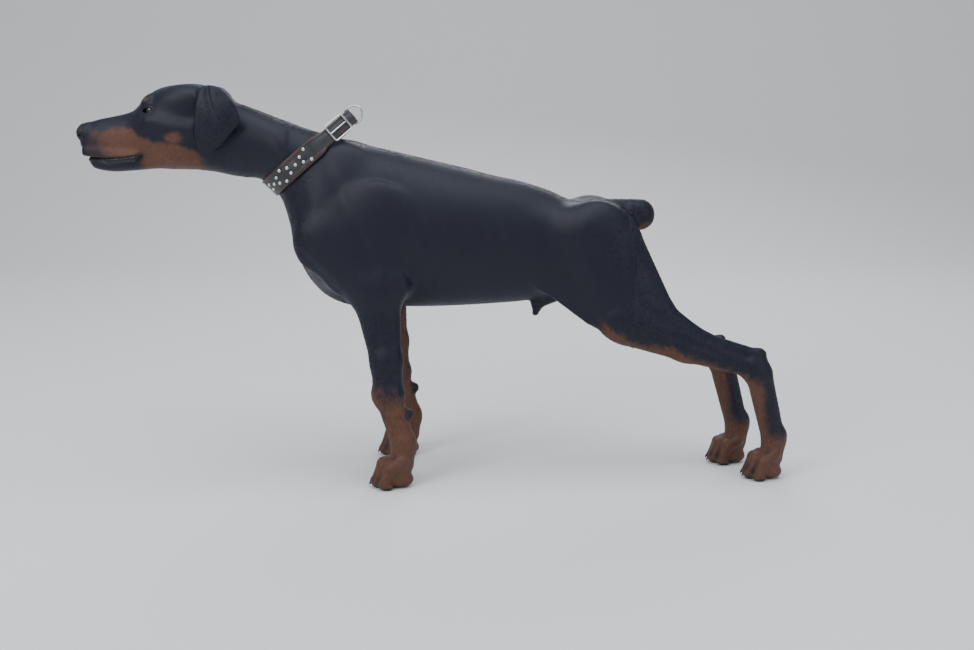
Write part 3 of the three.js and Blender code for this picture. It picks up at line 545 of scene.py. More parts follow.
def add_mesh(name, points, faces):
    """A smooth mesh object from points in mm and an array of faces."""
    mesh = bpy.data.meshes.new(name)
    count, sides = faces.shape
    mesh.vertices.add(len(points))
    mesh.vertices.foreach_set("co", ((points + SHIFT) * MM).ravel())
    mesh.loops.add(count * sides)
    mesh.loops.foreach_set("vertex_index", faces.ravel().astype(np.int32))
    mesh.polygons.add(count)
    mesh.polygons.foreach_set("loop_start", np.arange(0, count * sides, sides, dtype=np.int32))
    mesh.polygons.foreach_set("use_smooth", np.full(count, True))
    mesh.update(calc_edges=True)
    mesh.validate()
    return add_object(name, mesh)


def add_solid(name, parts, look):
    """One smooth object from several parts of points in mm and faces."""
    bm = bmesh.new()
    for points, faces in parts:
        made = [bm.verts.new((Vector(p) + Vector(SHIFT)) * MM) for p in points]
        for face in faces:
            bm.faces.new([made[n] for n in face])
    bmesh.ops.recalc_face_normals(bm, faces=bm.faces)
    for face in bm.faces:
        face.smooth = True
    mesh = bpy.data.meshes.new(name)
    bm.to_mesh(mesh)
    bm.free()
    mesh.materials.append(look)
    return add_object(name, mesh)


def add_attribute(piece, name, values):
    """A number kept at each vertex."""
    attribute = piece.data.attributes.new(name, "FLOAT", "POINT")
    attribute.data.foreach_set("value", values.astype(np.float32))


def corner_vertices(piece):
    """The vertex at each corner of a mesh's faces."""
    corners = np.empty(len(piece.data.loops), np.int32)
    piece.data.loops.foreach_get("vertex_index", corners)
    return corners


def set_map(piece, name, places):
    piece.data.uv_layers.new(name=name).data.foreach_set("uv", places.astype(np.float32).ravel())


# The head's details, for one side, with y outboard

EYE_RADIUS = 11
LID = 2.4
EYE = np.array([-469, 24.5, 628.0])
EYE_GAZE = unit(np.array([-0.62, 0.78, 0.06]))
EYE_SLIT = unit(np.cross(EYE_GAZE, UP)) + 0.16 * UP
EYE_SLIT = unit(EYE_SLIT - EYE_GAZE * (EYE_SLIT @ EYE_GAZE))
EYE_UP = np.cross(EYE_SLIT, EYE_GAZE)
EYE_HALF = 10.0
EYE_OPEN_UP = 2.7
EYE_OPEN_DOWN = 3.3


def eye_frame(x, y, z):
    """Along the slit of the lids, up across it, and out along the gaze."""
    p = (x - EYE[0], y - EYE[1], z - EYE[2])
    return tuple(p[0] * a[0] + p[1] * a[1] + p[2] * a[2] for a in (EYE_SLIT, EYE_UP, EYE_GAZE))


def lid_edge(x, y, z):
    """How far a point is outside the opening of the lids."""
    u, w, _ = eye_frame(x, y, z)
    bow = 1 - (u / EYE_HALF) ** 2
    return np.maximum(w - EYE_OPEN_UP * bow, -w - EYE_OPEN_DOWN * bow)


def add_eye(d, x, y, z):
    """The lids over the ball, with a crease above, a bag below and the slit between them."""
    u, w, g = eye_frame(x, y, z)
    r = np.sqrt(u * u + w * w + g * g)
    d = join(d, r - (EYE_RADIUS + LID), 5)
    edge = lid_edge(x, y, z)
    crease = swell(edge, 5.2, 1.6) * smooth(w, 0, 4)
    bag = 0.5 * swell(edge, 5.0, 2.0) * smooth(-w, 0, 4)
    d = d + (crease + bag) * 0.9 * smooth(g, 2, 8) * smooth(20 - r, 0, 4)
    return carve(d, np.maximum(edge, 3 - g), 1.4)


MOUTH_LINE = interpolate([
    [-606, 551.5], [-590, 550.5], [-565, 549.6], [-540, 549.6], [-515, 551.5], [-498, 555], [-488, 558.5],
])
MOUTH_CORNER = -494
LOWER_LIP = [
    limb((-580, 5, 546), (-550, 18.5, 545.5), 5.5, 6),
    limb((-550, 18.5, 545.5), (-504, 26, 548.5), 6, 5.5),
]


def mouth_height(x):
    return MOUTH_LINE(x)[0]


def add_mouth(d, x, y, z):
    """The closed mouth: the upper lip hangs over the rounded lower lip, with a fine line between them."""
    for lip in LOWER_LIP:
        d = join(d, lip(x, y, z), 5)
    off = z - mouth_height(x)
    along = shade(x, MOUTH_CORNER - 14, MOUTH_CORNER + 8)
    near = smooth(d, -7, -1) * smooth(y, 3, 9)
    upper = 1.3 * swell(off, 3.4, 3.2)
    lower = swell(off, -4.2, 2.6)
    line = 1.7 * swell(off, 0, 0.9)
    return d + (line - upper - lower) * along * near


# Ears: each a thin leather that stands at the skull's side, folds at its top and hangs

EAR_OUTLINE = [
    (-378, 669), (-387, 662), (-391, 645), (-394, 622), (-396, 598), (-393, 574), (-386, 558), (-378, 553),
    (-366, 560), (-347, 578), (-329, 598), (-320, 608), (-322, 623), (-329, 640), (-341, 655), (-357, 667),
]
EAR_ASIDE = {LEFT: (0, 0), RIGHT: (-8, -12)}  # the right ear hangs a little lower and further forward


def closed_curve(points, per_span):
    """A smooth closed run of points through the given ones."""
    p = np.array(points, float)
    t = np.arange(per_span)[:, None] / per_span
    spans = []
    for a, b, c, d in zip(np.roll(p, 1, 0), p, np.roll(p, -1, 0), np.roll(p, -2, 0)):
        curve = 2 * b + (c - a) * t + (2 * a - 5 * b + 4 * c - d) * t**2 + (3 * b - a - 3 * c + d) * t**3
        spans.append(0.5 * curve)
    return np.concatenate(spans)


EAR_RIM = closed_curve(EAR_OUTLINE, 3)


def split_line(x, z, a, b):
    """How far along the line from a to b a point lies, as a share of it, and its distance squared."""
    dx, dz = b[0] - a[0], b[1] - a[1]
    share = ((x - a[0]) * dx + (z - a[1]) * dz) / (dx * dx + dz * dz)
    t = np.clip(share, 0, 1)
    return share, (x - a[0] - t * dx) ** 2 + (z - a[1] - t * dz) ** 2


def outline_distance(x, z, rim):
    """Signed distance in the side view to a closed outline, negative inside."""
    best = np.full(x.shape, 1e9)
    crossings = np.zeros(x.shape, bool)
    for a, b in zip(rim, np.roll(rim, -1, 0)):
        best = np.minimum(best, split_line(x, z, a, b)[1])
        spans = (a[1] > z) != (b[1] > z)
        over = x < a[0] + (z - a[1]) * (b[0] - a[0]) / ((b[1] - a[1]) or 1e-9)
        crossings ^= spans & over
    return np.sqrt(best) * np.where(crossings, -1, 1)


# Down the ear from its fold: height, front edge, back edge, how far out the leather lies, and its bow
EAR_DOWN = interpolate([
    [548, -386, -368, 51.5, 1.0], [566, -391, -360, 53.0, 3.0], [585, -396, -341, 54.0, 5.0],
    [605, -397, -321, 54.0, 6.5], [625, -394, -323, 53.5, 6.5], [642, -391, -331, 51.0, 5.5],
    [656, -388, -341, 46.0, 4.0], [674, -384, -352, 38.0, 2.0],
])


def ear_middle(x, z):
    """How far outboard the middle of the ear's leather lies, over the side view."""
    front, back, base, bow = EAR_DOWN(z)
    over = (x - front) / (back - front)
    arch = bow * (1 - (2 * np.clip(over, -0.2, 1.2) - 1) ** 2)
    crease_at = 0.50 - 0.16 * smooth(z, 600, 655)
    crease = 3.2 * swell(over, crease_at, 0.11) * smooth(z, 596, 640)
    roll = 1.8 * swell(over, 0.03, 0.09) * shade(z, 640, 660)
    curl = 4.0 * smooth(over, 0.78, 1.05) * smooth(z, 575, 600) * shade(z, 625, 650)
    return base + arch - crease + roll - curl


EAR_HALF_THICK = 1.8


def ear_field(x, y, z):
    """The ear's leather, from the side view's outline and its middle."""
    e = 1.5
    sx = (ear_middle(x + e, z) - ear_middle(x - e, z)) / (2 * e)
    sz = (ear_middle(x, z + e) - ear_middle(x, z - e)) / (2 * e)
    thick = EAR_HALF_THICK + 2.2 * smooth(z, 645, 668)
    sheet = np.abs(y - ear_middle(x, z)) / np.sqrt(1 + sx * sx + sz * sz) - thick
    rim = outline_distance(x, z, EAR_RIM)
    return -join(-sheet, -rim, 3.0)


def add_ear(d, x, y, z, side):
    across, down = EAR_ASIDE[side]
    x, z = x - across, z - down  # the ear is drawn in its own place
    near = (x > -404) & (x < -312) & (y > 26) & (y < 76) & (z > 545) & (z < 676)
    ear = where(near, ear_field, x, y, z)
    return join(d, ear, 1.2 + 11 * smooth(z, 642, 662))


RIB_PITCH = 27
RIB_HEIGHT = 0.35
LOIN = limb((130, 20, 440), (246, 42, 432), 20, 26)


def add_ribs(d, x, y, z):
    """Faint ribs on the side of the trunk."""
    lean = x + (z - 420) * 0.35
    on = smooth(x, -95, -40) * shade(x, 95, 150) * smooth(z, 315, 345) * shade(z, 430, 490)
    return d - RIB_HEIGHT * on * np.cos(lean * 2 * np.pi / RIB_PITCH)


MUSCLE_LINES = [
    # A groove from a to b in the side view, then its half width and its depth
    ((-190, 560), (-136, 450), 13, 1.8),
    ((-136, 450), (-96, 350), 12, 1.8),
    ((-236, 560), (-214, 440), 12, 1.4),
    ((-226, 402), (-150, 318), 8, 2.2),
    ((250, 440), (300, 340), 16, 1.6),
    ((200, 420), (236, 330), 14, 1.6),
    ((330, 312), (410, 262), 9, 1.4),
    ((380, 262), (500, 214), 6, 2.4),
    ((468, 236), (528, 216), 5, 2.4),
    ((-100, 292), (-92, 175), 6, 1.2),
    ((548, 160), (566, 80), 5, 1.6),
]


def add_grooves(d, x, y, z):
    for a, b, wide, deep in MUSCLE_LINES:
        t, off = split_line(x, z, a, b)
        along = smooth(t, -0.1, 0.25) * shade(t, 0.75, 1.1)
        d = d + deep * along * np.exp(-off / (wide * wide)) * smooth(y, 8, 30)
    return d


def off_pad(y, z):
    """How far out from the middle of the nose pad in the front view, 1 at its edge."""
    return np.sqrt((y / 17.5) ** 2 + ((z - 591) / 15.5) ** 2)


def nose_share(x, y, z):
    """1 under the nose pad and 0 outside it."""
    return smooth(-x - 0.06 * (z - 590), 583.5, 587) * shade(off_pad(y, z), 0.86, 1.06)


def skin_field(x, y, z):
    d = flesh(x, y, z)
    side = np.abs(y)
    on_head = x < -300

    if on_head.any():
        hx, hy, hz = x[on_head], side[on_head], z[on_head]
        part = add_eye(add_mouth(d[on_head], hx, hy, hz), hx, hy, hz) + COAT
        with_ears = [add_ear(part, hx, hy, hz, ear_side) for ear_side in SIDES.values()]
        d[on_head] = np.where(y[on_head] < 0, *with_ears) - COAT
    rest = x > -260
    if rest.any():
        part = join(d[rest], LOIN(x[rest], side[rest], z[rest]), 24)
        part = add_grooves(part, x[rest], side[rest], z[rest])
        d[rest] = add_ribs(part, x[rest], side[rest], z[rest])
    d = d + COAT + 0.9 * nose_share(x, y, z)
    return np.maximum(d, -z)


# Grid lines across the skin, closer where there are eyes, lips, ears and toes
SKIN_LINES = (
    grid_lines(-608, [
        (-560, 1.5), (-495, 1.8), (-445, 1.1), (-400, 1.8), (-310, 1.7), (-130, 3.6), (-20, 2.1), (470, 4.2),
        (618, 2.1),
    ]),
    grid_lines(-136, [(-70, 2.1), (70, 1.7), (136, 2.1)]),
    grid_lines(-3, [(60, 1.8), (500, 3.8), (535, 2.4), (560, 1.2), (612, 1.7), (645, 1.1), (684, 1.6)]),
)
skin_points, skin_quads = nets(skin_field, SKIN_LINES)
skin = add_mesh("skin", skin_points, skin_quads)


# Nose pad, a finer piece over the front of the muzzle

def nose_field(x, y, z):
    """The muzzle's front, with fuller wings, nostrils and a groove below their middle."""
    side = np.abs(y)
    d = flesh(x, y, z)
    d = join(d, ball((-593, 9.5, 590), 9, 8.5, 9)(x, side, z), 5)
    nostril = limb((-606, 6.0, 589.5), (-597, 10.5, 590), 2.6, 3.0)(x, side, z)
    slit = limb((-600, 11, 588.5), (-592, 18.5, 585), 2.0, 0.8)(x, side, z)
    d = carve(d, join(nostril, slit, 2.5), 1.6)
    d = d + 0.9 * swell(side, 0, 0.9) * shade(z, 583, 590)
    across = (off_pad(side, z) - 1) * 16
    edge = np.maximum(x + 0.06 * (z - 590) + 585.0, across)
    return -join(-d, -edge, 3)


NOSE_LINES = (
    grid_lines(-612, [(-582, 0.8)]), grid_lines(-24, [(24, 0.8)]), grid_lines(568, [(612, 0.8)]),
)
nose_points, nose_quads = nets(nose_field, NOSE_LINES)
nose = add_mesh("nose_pad", nose_points, nose_quads)


# Markings

def blob(x, y, z, c, r):
    """How far outside a soft ellipsoid, 1 on its surface."""
    return np.sqrt(((x - c[0]) / r[0]) ** 2 + ((y - c[1]) / r[1]) ** 2 + ((z - c[2]) / r[2]) ** 2)


# Along the muzzle and the cheek: x, and the height up to which they are tan
MUZZLE_TOP = interpolate([
    [-600, 580], [-580, 587], [-560, 593], [-545, 597], [-530, 600], [-512, 600], [-498, 592], [-482, 584],
    [-466, 578], [-450, 576.5], [-436, 577], [-420, 572], [-400, 563], [-388, 556], [-370, 545],
])


def head_tan(x, side, z, wobble):
    top = MUZZLE_TOP(x)[0]
    muzzle = smooth(top - z + 1.4 * wobble, -6, 7) * shade(x + 0.8 * wobble, -404, -372)
    soot = 0.78 * shade(x + 2.5 * wobble + 0.5 * (z - 570), -572, -534)
    muzzle = muzzle * smooth(side, 5, 14) * (1 - soot) * smooth(x, -594, -578)
    off = z - mouth_height(x)
    front_jaw = shade(off, -1, 2) * shade(x + 1.5 * wobble, -504, -478)
    muzzle = muzzle * (1 - 0.95 * front_jaw)
    throat = shade(z + 1.2 * wobble, 526, 545) * smooth(x, -504, -474) * shade(x + wobble, -408, -366)
    cheek = shade(blob(x, side, z, (-431, 48, 585), (16, 16, 12)) + wobble * 0.07, 0.35, 1.25)
    brow = shade(blob(x, side, z, (-481, 26, 646.5), (11, 10, 5.5)) + wobble * 0.06, 0.3, 1.25) * 0.85
    return np.maximum.reduce([muzzle, throat, cheek, brow])


def foreleg_tan(x, side, z, wobble):
    fore = (x < BETWEEN_LEGS) & (z < 330)
    front_edge = 172 - 0.35 * (x + 85)
    cuff = shade(z + wobble * 4, front_edge - 34, front_edge + 18)
    inner = shade(side + wobble, 64, 86) * shade(z + wobble * 4, 250, 306) * (side > 20)
    pad = shade(blob(x, side, z, (-47, 89, 126), (15, 14, 15)) + wobble * 0.04, 0.5, 1.25)
    streak = 0.55 * swell(x - 0.1 * (z - 100), -96, 7) * shade(z, 120, 165) * smooth(z, 50, 80)
    return np.maximum(cuff, inner) * fore * (1 - 0.9 * pad) * (1 - streak)


# Along the front edge of the hind leg: x and height
FRONT_OF_HINDLEG = interpolate([
    [262, 300], [276, 285], [305, 262], [350, 236], [408, 210], [452, 190], [500, 172], [540, 160],
])


def hindleg_tan(x, y, z, wobble):
    side = np.abs(y)
    ahead = np.where(y > 0, RIGHT_HIND_AHEAD, 0)
    hx = x + ahead * smooth(440 - z, 40, 240)
    hind = (hx > 190) & (z < 430)
    rear_black = smooth(hx + 1.5 * wobble + 0.1 * (z - 100), 546, 570) * smooth(z, 60, 92)
    lower = shade(z - 195 + 0.33 * (hx - 480) + wobble * 3, -9, 15) * smooth(hx, 400, 430)
    above = z - FRONT_OF_HINDLEG(hx)[0]
    band = 20 * smooth(hx, 335, 390) - 1
    shin = shade(above + wobble * 2.2, band - 8, band + 9) * smooth(hx, 262, 290) * shade(hx, 500, 525)
    inner_thigh = shade(side + wobble, 30, 48) * shade(z + wobble * 4, 316, 376) * (hx > 230)
    inner_shank = shade(side + wobble, 42, 58) * shade(z, 250, 302) * (hx > 300)
    return np.maximum.reduce([lower, shin, inner_thigh, inner_shank]) * (1 - 0.95 * rear_black) * hind


def toe_marks(x, y, z, wobble):
    marks = np.zeros(x.shape)
    low = z < 70
    for which, size in PAW_SIZE.items():
        for paw_side in SIDES.values():
            px, py = paw_place(which, paw_side)
            for place in TOES:
                root, knuckle, tip = toe_joints(place, size)
                start = (px + root[0] - 6, py + root[1], root[2] + 8)
                end = (px + tip[0] - 6, py + tip[1], tip[2] + 8)
                mark = where(low, limb(start, end, 2.6, 5.0), x, y, z)
                marks = np.maximum(marks, shade(mark + wobble, -3, 6))
    return marks


def tan_amount(x, y, z):
    """How tan the coat is, from 0 for black to 1."""
    side = np.abs(y)
    wobble = 2.2 * noise(x, y, z, 9, 1) + 1.4 * noise(x, y, z, 4, 2)
    breast = shade(blob(x, side, z, (-222, 34, 372), (26, 22, 14)) + wobble * 0.08, 0.6, 1.2) * 0.6
    vent = shade(blob(x, side, z, (350, 8, 430), (16, 20, 12)) + wobble * 0.05, 0.7, 1.15)
    legs_tan = np.maximum(foreleg_tan(x, side, z, wobble), hindleg_tan(x, y, z, wobble))
    amount = np.maximum.reduce([head_tan(x, side, z, wobble), legs_tan, breast, vent])
    return amount * (1 - 0.8 * toe_marks(x, y, z, wobble))


def bare_amount(x, y, z):
    """Where the skin is bare and dark: lips, lids, pads and the rim of the nose."""
    side = np.abs(y)
    off = z - mouth_height(x)
    lips = swell(off, -3.2, 4.4) * shade(x, MOUTH_CORNER, MOUTH_CORNER + 9) * smooth(side, 2, 8)
    edge = lid_edge(x, side, z)
    _, _, g = eye_frame(x, side, z)
    lids = shade(edge, 1.6, 3.4) * smooth(g, 5, 8) * (np.abs(x - EYE[0]) < 25)
    pads = shade(z, 3.5, 7)
    rim = nose_share(x + 3, y, z)
    return np.clip(np.maximum.reduce([lips, lids, pads, rim]), 0, 1)


def lie_of(x, y, z):
    """How far the hair lies down the limb instead of back along the trunk."""
    side = np.abs(y)
    fore = shade(z, 300, 380) * smooth(side, 40, 60) * (x < BETWEEN_LEGS)
    hind = shade(z, 300, 400) * (x > 200)
    ear = (x > -400) * (x < -312) * (side > 51) * (z > 545) * (z < 660)
    return np.clip(fore + hind + ear, 0, 1)


for name, amount in (("tan", tan_amount), ("bare", bare_amount), ("down", lie_of)):
    add_attribute(skin, name, amount(*skin_points.T))


# Materials

class Look:
    """A material and its shader, with ways to add nodes. What is fed may be a value or a node's output."""

    def __init__(self, name):
        self.material = bpy.data.materials.new(name)
        self.material.use_nodes = True
        self.tree = self.material.node_tree
        self.shader = self.tree.nodes["Principled BSDF"]
        self.place = self.node("ShaderNodeTexCoord").outputs["Object"]

    def feed(self, socket, value):
        if hasattr(value, "links"):
            self.tree.links.new(value, socket)
        elif socket.type == "RGBA":
            socket.default_value = (*value, 1)
        else:
            socket.default_value = value

    def node(self, kind, inputs=None, **settings):
        made = self.tree.nodes.new(kind)
        for key, value in settings.items():
            setattr(made, key, value)
        for key, value in (inputs or {}).items():
            self.feed(made.inputs[key], value)
        return made

    def set(self, inputs):
        for key, value in inputs.items():
            self.feed(self.shader.inputs[key], value)

    def bump(self, height, strength, distance):
        made = self.node("ShaderNodeBump", {"Height": height, "Strength": strength, "Distance": distance})
        self.set({"Normal": made.outputs["Normal"]})

    def attribute(self, name):
        return self.node("ShaderNodeAttribute", attribute_name=name).outputs["Fac"]

    def noise(self, scale, detail, stretch=(1.0, 1.0, 1.0)):
        place = self.node("ShaderNodeMapping", {"Vector": self.place, "Scale": stretch}).outputs["Vector"]
        inputs = {"Vector": place, "Scale": scale, "Detail": detail}
        return self.node("ShaderNodeTexNoise", inputs).outputs["Fac"]

    def cells(self, scale):
        inputs = {"Vector": self.place, "Scale": scale}
        return self.node("ShaderNodeTexVoronoi", inputs, feature="DISTANCE_TO_EDGE").outputs["Distance"]

    def spread(self, value, low, high):
        """0 at low and 1 at high."""
        inputs = {"Value": value, "From Min": low, "From Max": high}
        return self.node("ShaderNodeMapRange", inputs).outputs["Result"]

    def ramp(self, source, *stops):
        """A colour ramp through stops of a place and a colour, or a grey."""
        made = self.node("ShaderNodeValToRGB", {"Fac": source})
        elements = made.color_ramp.elements
        while len(elements) < len(stops):
            elements.new(0.5)
        for element, (place, colour) in zip(elements, stops):
            element.position = place
            element.color = (*(colour if isinstance(colour, tuple) else (colour,) * 3), 1)
        return made.outputs["Color"]

    def mix(self, share, a, b):
        made = self.node("ShaderNodeMix", {"Factor": share}, data_type="RGBA")
        self.feed(made.inputs[6], a)
        self.feed(made.inputs[7], b)
        return made.outputs[2]

    def math(self, operation, a, b=0.0, c=0.0, clamp=False):
        made = self.node("ShaderNodeMath", operation=operation, use_clamp=clamp)
        for socket, value in zip(made.inputs, (a, b, c)):
            self.feed(socket, value)
        return made.outputs[0]


# The coat's black is tinted navy as a painted reflection of a blue sky, and its lighter copy, mixed in hair
# by hair, is a painted sheen over it.
BLACK_WITH_PAINTED_SKY_BLUE = (0.0034, 0.0042, 0.0108)
BLACK_WITH_PAINTED_SHEEN = (0.0070, 0.0086, 0.0205)
TAN_DEEP = (0.052, 0.020, 0.013)
TAN_LIGHT = (0.165, 0.072, 0.040)
BARE = (0.010, 0.009, 0.010)
HAIR_SCALE = 1500.0
HAIR_STRETCH = 0.10
BLACK_ROUGHNESS = (0.42,) * 3
BLACK_ROUGHNESS_LIT = (0.56,) * 3
TAN_ROUGHNESS = (0.58,) * 3
BARE_ROUGHNESS = (0.20,) * 3


def coat_material():
    """Black and tan hair that lies back or down, and bare skin, by the amounts kept on the skin."""
    look = Look("coat")
    tan, bare, down = (look.attribute(name) for name in ("tan", "bare", "down"))
    back = look.noise(HAIR_SCALE, 2.0, (HAIR_STRETCH, 1.0, 1.0))
    fall = look.noise(HAIR_SCALE, 2.0, (1.0, 1.0, HAIR_STRETCH))
    strand = look.mix(down, back, fall)
    patch = look.noise(28.0, 3.0)
    # The black hair: a painted sky-blue reflection, with a painted sheen on some hairs.
    black = look.mix(strand, BLACK_WITH_PAINTED_SKY_BLUE, BLACK_WITH_PAINTED_SHEEN)
    rust = look.ramp(strand, (0.25, TAN_DEEP), (0.75, TAN_LIGHT))
    rust = look.mix(look.math("MULTIPLY", patch, 0.55), rust, TAN_DEEP)
    edge = look.math("MULTIPLY_ADD", look.math("SUBTRACT", strand, 0.5), 0.5, tan)
    crisp = look.spread(edge, 0.08, 0.92)
    rough = look.mix(strand, BLACK_ROUGHNESS, BLACK_ROUGHNESS_LIT)
    rough = look.mix(crisp, rough, TAN_ROUGHNESS)
    look.set({
        "Base Color": look.mix(bare, look.mix(crisp, black, rust), BARE),
        "Roughness": look.mix(bare, rough, BARE_ROUGHNESS),
        "Specular IOR Level": 0.30,
        "Sheen Weight": 0.03,
        "Sheen Roughness": 0.42,
        "Sheen Tint": (0.45, 0.55, 1.0),
    })
    look.bump(look.math("MULTIPLY_ADD", patch, 0.35, strand), 0.32, 0.0006)
    return look.material


def nose_material():
    look = Look("nose_leather")
    pebble = look.spread(look.cells(900.0), 0.0, 0.25)
    cloud = look.noise(120.0, 4.0)
    look.set({
        "Base Color": look.ramp(cloud, (0.3, (0.004, 0.004, 0.005)), (0.7, (0.010, 0.009, 0.010))),
        "Roughness": look.ramp(pebble, (0.0, 0.55), (1.0, 0.30)),
        "Specular IOR Level": 0.32,
        "Coat Weight": 0.06,
        "Coat Roughness": 0.3,
    })
    look.bump(pebble, 0.5, 0.0004)
    return look.material


def claw_material():
    look = Look("claw")
    line = look.noise(1200.0, 3.0, (0.15, 1.0, 0.5))
    look.set({
        "Base Color": look.ramp(line, (0.3, (0.010, 0.008, 0.007)), (0.75, (0.045, 0.035, 0.028))),
        "Roughness": look.ramp(line, (0.2, 0.28), (0.8, 0.46)),
    })
    look.bump(line, 0.25, 0.0003)
    return look.material


def eye_material():
    """Dark pupil, brown iris and a dark rim, by the angle from the gaze."""
    look = Look("eye")
    fibre = look.math("SUBTRACT", look.noise(900.0, 4.0), 0.5)
    wavy = look.math("MULTIPLY_ADD", fibre, 0.08, look.attribute("off_axis"))
    look.set({
        "Base Color": look.ramp(
            wavy,
            (0.0, (0.001, 0.001, 0.001)), (0.235, (0.001, 0.001, 0.001)), (0.27, (0.020, 0.009, 0.004)),
            (0.44, (0.050, 0.022, 0.009)), (0.56, (0.016, 0.008, 0.004)), (0.62, (0.004, 0.003, 0.003)),
            (0.80, (0.045, 0.030, 0.026)),
        ),
        "Roughness": 0.12,
        "Coat Weight": 1.0,
        "Coat Roughness": 0.03,
    })
    return look.material


coat_look = coat_material()
skin.data.materials.append(coat_look)
nose.data.materials.append(nose_material())


# Eyes

EYE_RINGS = 24
EYE_SEGMENTS = 40
CORNEA = 1.0  # how far the cornea stands over the ball
CORNEA_EDGE = 0.82  # cosine of the angle from the gaze to the cornea's edge


def add_eye_ball(side_name, side, look):
    """A ball with its cornea, made of rings round the gaze."""
    turn = Vector(EYE_GAZE * [1, side, 1]).to_track_quat("Z", "Y").to_matrix()
    center = Vector(EYE * [1, side, 1])
    points, angles, faces = [], [], []
    for i in range(EYE_RINGS + 1):
        polar = math.pi * i / EYE_RINGS
        r = EYE_RADIUS + CORNEA * max(0.0, math.cos(polar) - CORNEA_EDGE) / (1 - CORNEA_EDGE)
        for j in range(EYE_SEGMENTS if 0 < i < EYE_RINGS else 1):
            spin = 2 * math.pi * j / EYE_SEGMENTS
            flat = math.sin(polar)
            local = Vector((flat * math.cos(spin), flat * math.sin(spin), math.cos(polar)))
            points.append(turn @ (local * r) + center)
            angles.append(polar / math.pi * 2)
    last = len(points) - 1
    for j in range(EYE_SEGMENTS):
        after = (j + 1) % EYE_SEGMENTS
        faces.append((0, 1 + j, 1 + after))
        faces.append((last, last - EYE_SEGMENTS + after, last - EYE_SEGMENTS + j))
        for i in range(EYE_RINGS - 2):
            a, b = 1 + i * EYE_SEGMENTS, 1 + (i + 1) * EYE_SEGMENTS
            faces.append((a + j, b + j, b + after, a + after))
    piece = add_solid(f"eyeball_{side_name}", [(points, faces)], look)
    add_attribute(piece, "off_axis", np.array(angles))
    return piece


eye_look = eye_material()
eyes = {side_name: add_eye_ball(side_name, side, eye_look) for side_name, side in SIDES.items()}


# Tubes and rings of points

def tube(rings, closed=False):
    """Quads between neighbouring rings, as points and faces, closed into a loop or by caps."""
    count, sides = len(rings), len(rings[0])
    points = np.concatenate(rings)
    faces = []
    for i in range(count if closed else count - 1):
        step = ((i + 1) % count - i) * sides
        for j in range(sides):
            a, b = i * sides + j, i * sides + (j + 1) % sides
            faces.append((a, b, b + step, a + step))
    if not closed:
        for start, turn in ((0, 1), ((count - 1) * sides, -1)):
            middle = len(points)
            points = np.vstack([points, points[start:start + sides].mean(0)])
            for j in range(sides):
                faces.append((middle, start + (j + 1) % sides, start + j)[::turn])
    return points, faces


def round_ring(center, a, b, sides):
    """A ring of points from a towards b round a center."""
    turns = 2 * np.pi * np.arange(sides) / sides
    return center + np.outer(np.cos(turns), a) + np.outer(np.sin(turns), b)


# Claws

CLAW_RINGS = 9
CLAW_LENGTH = 15
CLAW_DROP = 13
CLAW_RADIUS = 3.5
CLAW_TIP = 0.25


def claw_parts(root, size):
    """A claw that curves down from its root to a blunt tip."""
    rings = []
    for t in np.arange(CLAW_RINGS) / (CLAW_RINGS - 1):
        drop = 0.78 * t * t
        ahead = CLAW_LENGTH * size * (t - 0.3 * drop)
        center = np.array([root[0] + 3 - ahead, root[1], root[2] + 0.5 - CLAW_DROP * size * drop])
        radius = CLAW_RADIUS * size * (1 - t) ** 0.55 + CLAW_TIP
        lean = math.atan2(CLAW_LENGTH * 1.56 * t, 19)
        across = np.array([0, 0.78, 0])
        up = 1.1 * np.array([-math.sin(lean), 0, math.cos(lean)])
        rings.append(round_ring(center, radius * across, radius * up, 12))
    return tube(rings)


claw_look = claw_material()
for which, size in PAW_SIZE.items():
    for side_name, side in SIDES.items():
        px, py = paw_place(which, side)
        for n, place in enumerate(TOES):
            tip = toe_joints(place, size)[2]
            root = (px + tip[0] - 4, py + tip[1], 14.5 * size)
            horn = add_solid(f"horn_{which}_{side_name}_{n + 1}", [claw_parts(root, size)], claw_look)
            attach(horn, "root")
            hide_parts(f"claw_{which}_{side_name}_{n + 1}")


# Collar

THROAT_POINT = np.array([-284, 0.0, 494])
CREST_POINT = np.array([-145, 0.0, 614])
LOOP_ALONG = unit(CREST_POINT - THROAT_POINT)
LOOP_ACROSS = np.array([-LOOP_ALONG[2], 0.0, LOOP_ALONG[0]])  # towards the head
LOOP_LOW = THROAT_POINT + [5, 0, 6]
LOOP_LENGTH = 180
STRAP_THICK = 3
STRAP_CLEAR = 0.9  # between the strap and the neck
WIDE_HALF = 17
NARROW_HALF = 12.5
# Half of the loop: how far up from the throat, and how far out
LOOP_HALF = [(2, 17), (20, 38), (55, 50), (95, 49), (125, 36), (152, 19), (171, 7.5)]


def loop_point(along, out):
    return LOOP_LOW + LOOP_ALONG * along + np.array([0, out, 0])


LOOP = (
    [loop_point(-2, 0)] + [loop_point(a, b) for a, b in LOOP_HALF]
    + [loop_point(LOOP_LENGTH, 0)] + [loop_point(a, -b) for a, b in LOOP_HALF[::-1]]
)


def rounded_loop(points, per_span=40):
    """A closed run of points through the given ones, with spans weighted by their lengths."""
    spans = []
    count = len(points)
    t = (np.arange(per_span) / per_span)[:, None]
    for i in range(count):
        p0, p1, p2, p3 = (points[(i + n) % count] for n in (-1, 0, 1, 2))
        d0, d1, d2 = (math.sqrt(np.linalg.norm(b - a)) for a, b in ((p0, p1), (p1, p2), (p2, p3)))
        m1 = ((p1 - p0) / d0 - (p2 - p0) / (d0 + d1) + (p2 - p1) / d1) * d1
        m2 = ((p2 - p1) / d1 - (p3 - p1) / (d1 + d2) + (p3 - p2) / d2) * d1
        spans.append((2 * t**3 - 3 * t**2 + 1) * p1 + (t**3 - 2 * t**2 + t) * m1
                     + (3 * t**2 - 2 * t**3) * p2 + (t**3 - t**2) * m2)
    return np.concatenate(spans)


